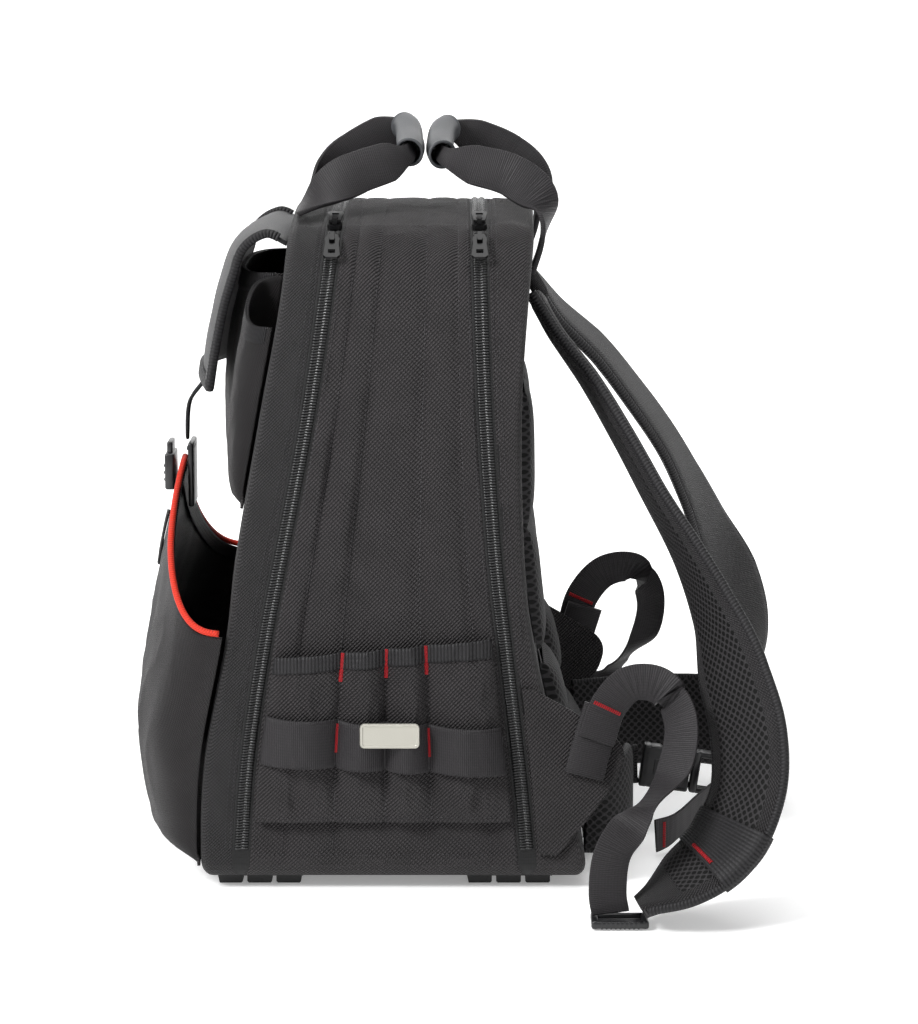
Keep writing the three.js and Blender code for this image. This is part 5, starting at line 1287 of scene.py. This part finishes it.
for side, way in SIDES:
    strap = Route(ROUTES[f"{side}_strap"], way)
    pad = loft(f"shoulder_pad_cloth_{side}", strap.frames(120), PAD_OUTLINE, "strip", STRAP_WIDTH,
               STRAP_THICKNESS, (f"shoulder_pad_{side}",))
    face = [(a, way * (0.52 - 0.1 * abs(a / 0.4) ** 4)) for a in (-0.42, -0.3, -0.15, 0, 0.15, 0.3, 0.42)]
    liner = loft(f"shoulder_pad_mesh_{side}", strap.frames(110, 0.02, 0.93), face, "mesh", STRAP_WIDTH,
                 11.6, closed=False)
    for k, edge in enumerate((-1, 1)):
        edge_rope(f"strap_edge_{side}_{k}", strap, STRAP_WIDTH - 1, edge, 6.4, 170, 0.99)
    loft(f"strap_keeper_webbing_{side}", strap.frames(20, 19 / 24, 21 / 24),
         [(a * 1.07, b * 1.42) for a, b in PAD_OUTLINE], "grosgrain", STRAP_WIDTH, STRAP_THICKNESS,
         (f"strap_keeper_{side}",), caps=False)
    webbing = Route(ROUTES[f"{side}_webbing"], way)
    loft(f"lower_strap_{side}", webbing.frames(110), FLAT, "webbing", WEBBING, TAPE_THICKNESS,
         (f"lower_webbing_{side}",))
    fold = Route(ROUTES["tab_fold"], way)
    loft(f"anchor_cloth_{side}", fold.frames(16), FLAT, "webbing", 27, 4.5, (f"anchor_tab_{side}",))

WING = {"rise": [0.0, 0.25, 0.50, 0.68, 0.86, 1.0], "reach": [0.20, 0.62, 0.97, 1.0, 0.55, 0.12]}
WING_FOOT, WING_TOP, WING_REACH = 26.0, 141.0, 62.0


def wing_face(way):
    def face(u, v):
        z = lerp(WING_FOOT, WING_TOP, v)
        start = profile_at("rear_zip", z) + ZIP_WIDTH / 2 + 2
        y = start + u * WING_REACH * read_table(WING, "rise", "reach", v)
        return Vector((way * (side_at(z) + GAP + CLOTH + 0.4), y, z))
    return face


for side, way in SIDES:
    sheet(f"wing_cloth_{side}", wing_face(way), 20, 40, TAPE_THICKNESS, way, "body",
          replaces=(f"side_wing_{side}",))


# Waist belt

BELT_WIDTH, BELT_THICKNESS = 66, 9
for side, way in SIDES:
    belt = Route(ROUTES[f"{side}_belt"], way)
    pad = loft(f"belt_pad_cloth_{side}", belt.frames(90), PAD_OUTLINE, "mesh", BELT_WIDTH, BELT_THICKNESS,
               (f"hip_belt_{side}",))
    for k, edge in enumerate((-1, 1)):
        edge_rope(f"belt_edge_{side}_{k}", belt, BELT_WIDTH - 1, edge, 4.8, 100)
belt_strap = Route(ROUTES["belt_webbing"])
loft("belt_strap", belt_strap.frames(120), FLAT, "webbing", WEBBING, TAPE_THICKNESS, ("belt_webbing",))


# Moulded hardware

lock_parts = [((5, 37, 5.2), (-8.4, 0, 0), 1.7), ((3.6, 34, 3.6), (0, 0, -0.5), 1.3),
              ((5, 37, 5.2), (8.4, 0, 0), 1.7)]
lock_parts += [((21.6, 4.8, 5.9), (0, y, 0), 1.8) for y in (-16.5, 16.5)]
lock_parts += [((1.2, 1.6, 5.3), (10.4, y, 0), 0.45) for y in range(-12, 13, 3)]
for side, _ in SIDES:
    lock = f"ladder_lock_{side}"
    moulding(f"lock_moulding_{side}", node_middle(lock), lock_parts, lock)

BUCKLE_SEAT = 3.3      # from the belt's end to the buckle
buckle_turn = Matrix.Rotation(math.radians(-8), 3, "X")
belt_end = catmull(Route(ROUTES["right_belt"]).places, 1.0)
buckle_place = Vector((belt_end.x, belt_end.y + BUCKLE_SEAT, belt_end.z))
socket_parts = [((2.0, 35, 29), (4.4, 18, 0), 0.9), ((2.0, 35, 29), (-4.4, 18, 0), 0.9),
                ((10.8, 6, 31.6), (0, 3, 0), 1.6), ((1.0, 18, 12), (5.3, 18, 0), 0.45)]
clip_parts = [((6.2, 20, 4.2), (0, 27, 0), 1.4), ((10.6, 6, 31.4), (0, 39.6, 0), 2.0),
              ((6.0, 4.6, 30), (0, 59.4, 0), 1.9)]
for way in (1, -1):
    socket_parts += [((10.8, 12, 5), (0, 29.8, way * 13.3), 1.8), ((10.8, 9, 4), (0, 9, way * 13.6), 1.5)]
    clip_parts += [((6.2, 24, 4.6), (0, 25, way * 11.0), 1.6), ((9.6, 20, 4.8), (0, 50, way * 13.4), 1.9)]
moulding("belt_socket_moulding", buckle_place, socket_parts, "belt_buckle_socket", buckle_turn)
moulding("belt_clip_moulding", buckle_place, clip_parts, "belt_buckle_clip", buckle_turn)

CROSS_ROWS, CROSS_LENGTH = 14, 2.6


def cross_tack(name, route, t, width, raise_by):
    """A red bar tack across a strap, on both of its faces."""
    pieces = []
    place, along, across, face, _ = route.at(t)
    for k, way in enumerate((1, -1)):
        points, faces = [], []
        for i in range(CROSS_ROWS):
            faces += strip_faces(2, 4, base=8 * i)
            for end in (0.0, 0.75):
                a = lerp(-0.5, 0.5, (i + end) / CROSS_ROWS) * width
                for b, h in ((-1, 0.0), (-0.5, 0.7), (0.5, 0.7), (1, 0.0)):
                    points.append(metres(place + across * a + along * (b * CROSS_LENGTH / 2)
                                         + face * (way * (raise_by + h))))
        pieces.append(add_mesh(f"{name}_{k}", points, faces, "red", [(p[1], p[2]) for p in points]))
    join(name, pieces)


for side, way in SIDES:
    cross_tack(f"keeper_tack_{side}", Route(ROUTES[f"{side}_strap"], way), 0.865, 26, 7.9)
    cross_tack(f"webbing_tack_{side}", Route(ROUTES[f"{side}_webbing"], way), 0.10, 20, 1.0)
cross_tack("belt_tail_tack", belt_strap, 0.93, 20, 1.0)


# Stage, lights and camera, in metres

scene = bpy.context.scene
world = bpy.data.worlds.new("white")
scene.world = world
world.use_nodes = True
background = world.node_tree.nodes["Background"]
background.inputs["Color"].default_value = (1, 1, 1, 1)
background.inputs["Strength"].default_value = 0.34


def stage_plane(name, corners, shade, roughness):
    """A plane of the stage, which glows white; gives back its shader."""
    mesh = bpy.data.meshes.new(name)
    mesh.from_pydata(corners, [], [(0, 1, 2, 3)])
    plane = bpy.data.objects.new(name, mesh)
    scene.collection.objects.link(plane)
    white = Shader(f"{name}_white", (shade, shade, shade, 1.0), roughness)
    white.surface.inputs["Emission Color"].default_value = (1, 1, 1, 1)
    white.surface.inputs["Emission Strength"].default_value = 1.0
    mesh.materials.append(white.material)
    return white


FLOOR_HALF, FLOOR_LEVEL = 14, -0.0005
# Painted light: the floor glows less near the bag and more far away, a painted fall of light that leaves it
# shaded round the bag and white far off.
PAINTED_FLOOR_GLOW = {"From Min": 0.3, "From Max": 1.3, "To Min": 0.26, "To Max": 0.72}  # the floor's, by distance
floor_white = stage_plane("floor", [(FLOOR_HALF * x, FLOOR_HALF * y, FLOOR_LEVEL)
                                    for x, y in ((-1, -1), (1, -1), (1, 1), (-1, 1))], 0.93, 0.9)
place = floor_white.node("ShaderNodeTexCoord")
away = floor_white.node("ShaderNodeVectorMath", operation="LENGTH")
floor_white.put(place.outputs["Object"], away.inputs[0])
spread = floor_white.node("ShaderNodeMapRange", interpolation_type="SMOOTHSTEP")
for socket, value in PAINTED_FLOOR_GLOW.items():
    spread.inputs[socket].default_value = value
floor_white.put(away.outputs["Value"], spread.inputs["Value"])
floor_white.put(spread.outputs["Result"], floor_white.surface.inputs["Emission Strength"])
floor_white.surface.inputs["Specular IOR Level"].default_value = 0.1
stage_plane("backdrop", [(-13.9, -14, -1), (-13.9, 14, -1), (-13.9, 14, 14), (-13.9, -14, 14)], 1.0, 1.0)


def area_light(name, place, target, size, energy):
    light = bpy.data.lights.new(name, "AREA")
    light.shape = "RECTANGLE"
    light.size = light.size_y = size
    light.energy = energy
    lamp = bpy.data.objects.new(name, light)
    lamp.location = place
    lamp.rotation_euler = (Vector(target) - Vector(place)).to_track_quat("-Z", "Y").to_euler()
    scene.collection.objects.link(lamp)


area_light("key", (1.5, -1.9, 1.9), (0, 0, 0.25), 0.8, 92)
area_light("fill", (2.4, 1.8, 1.1), (0, 0, 0.25), 1.4, 10)
area_light("top", (0.1, 0.1, 2.4), (0, 0, 0.2), 1.6, 34)

camera = bpy.data.cameras.new("camera")
camera.lens = 112.1
camera.sensor_width = 36.0
eye = bpy.data.objects.new("camera", camera)
eye.location = (2.25, SHIFT.y, 0.65)
eye.rotation_euler = (math.radians(90 - 10.5), 0.0, math.radians(90))
scene.collection.objects.link(eye)
scene.camera = eye
scene.view_settings.view_transform = "Standard"
scene.view_settings.exposure = 0.0
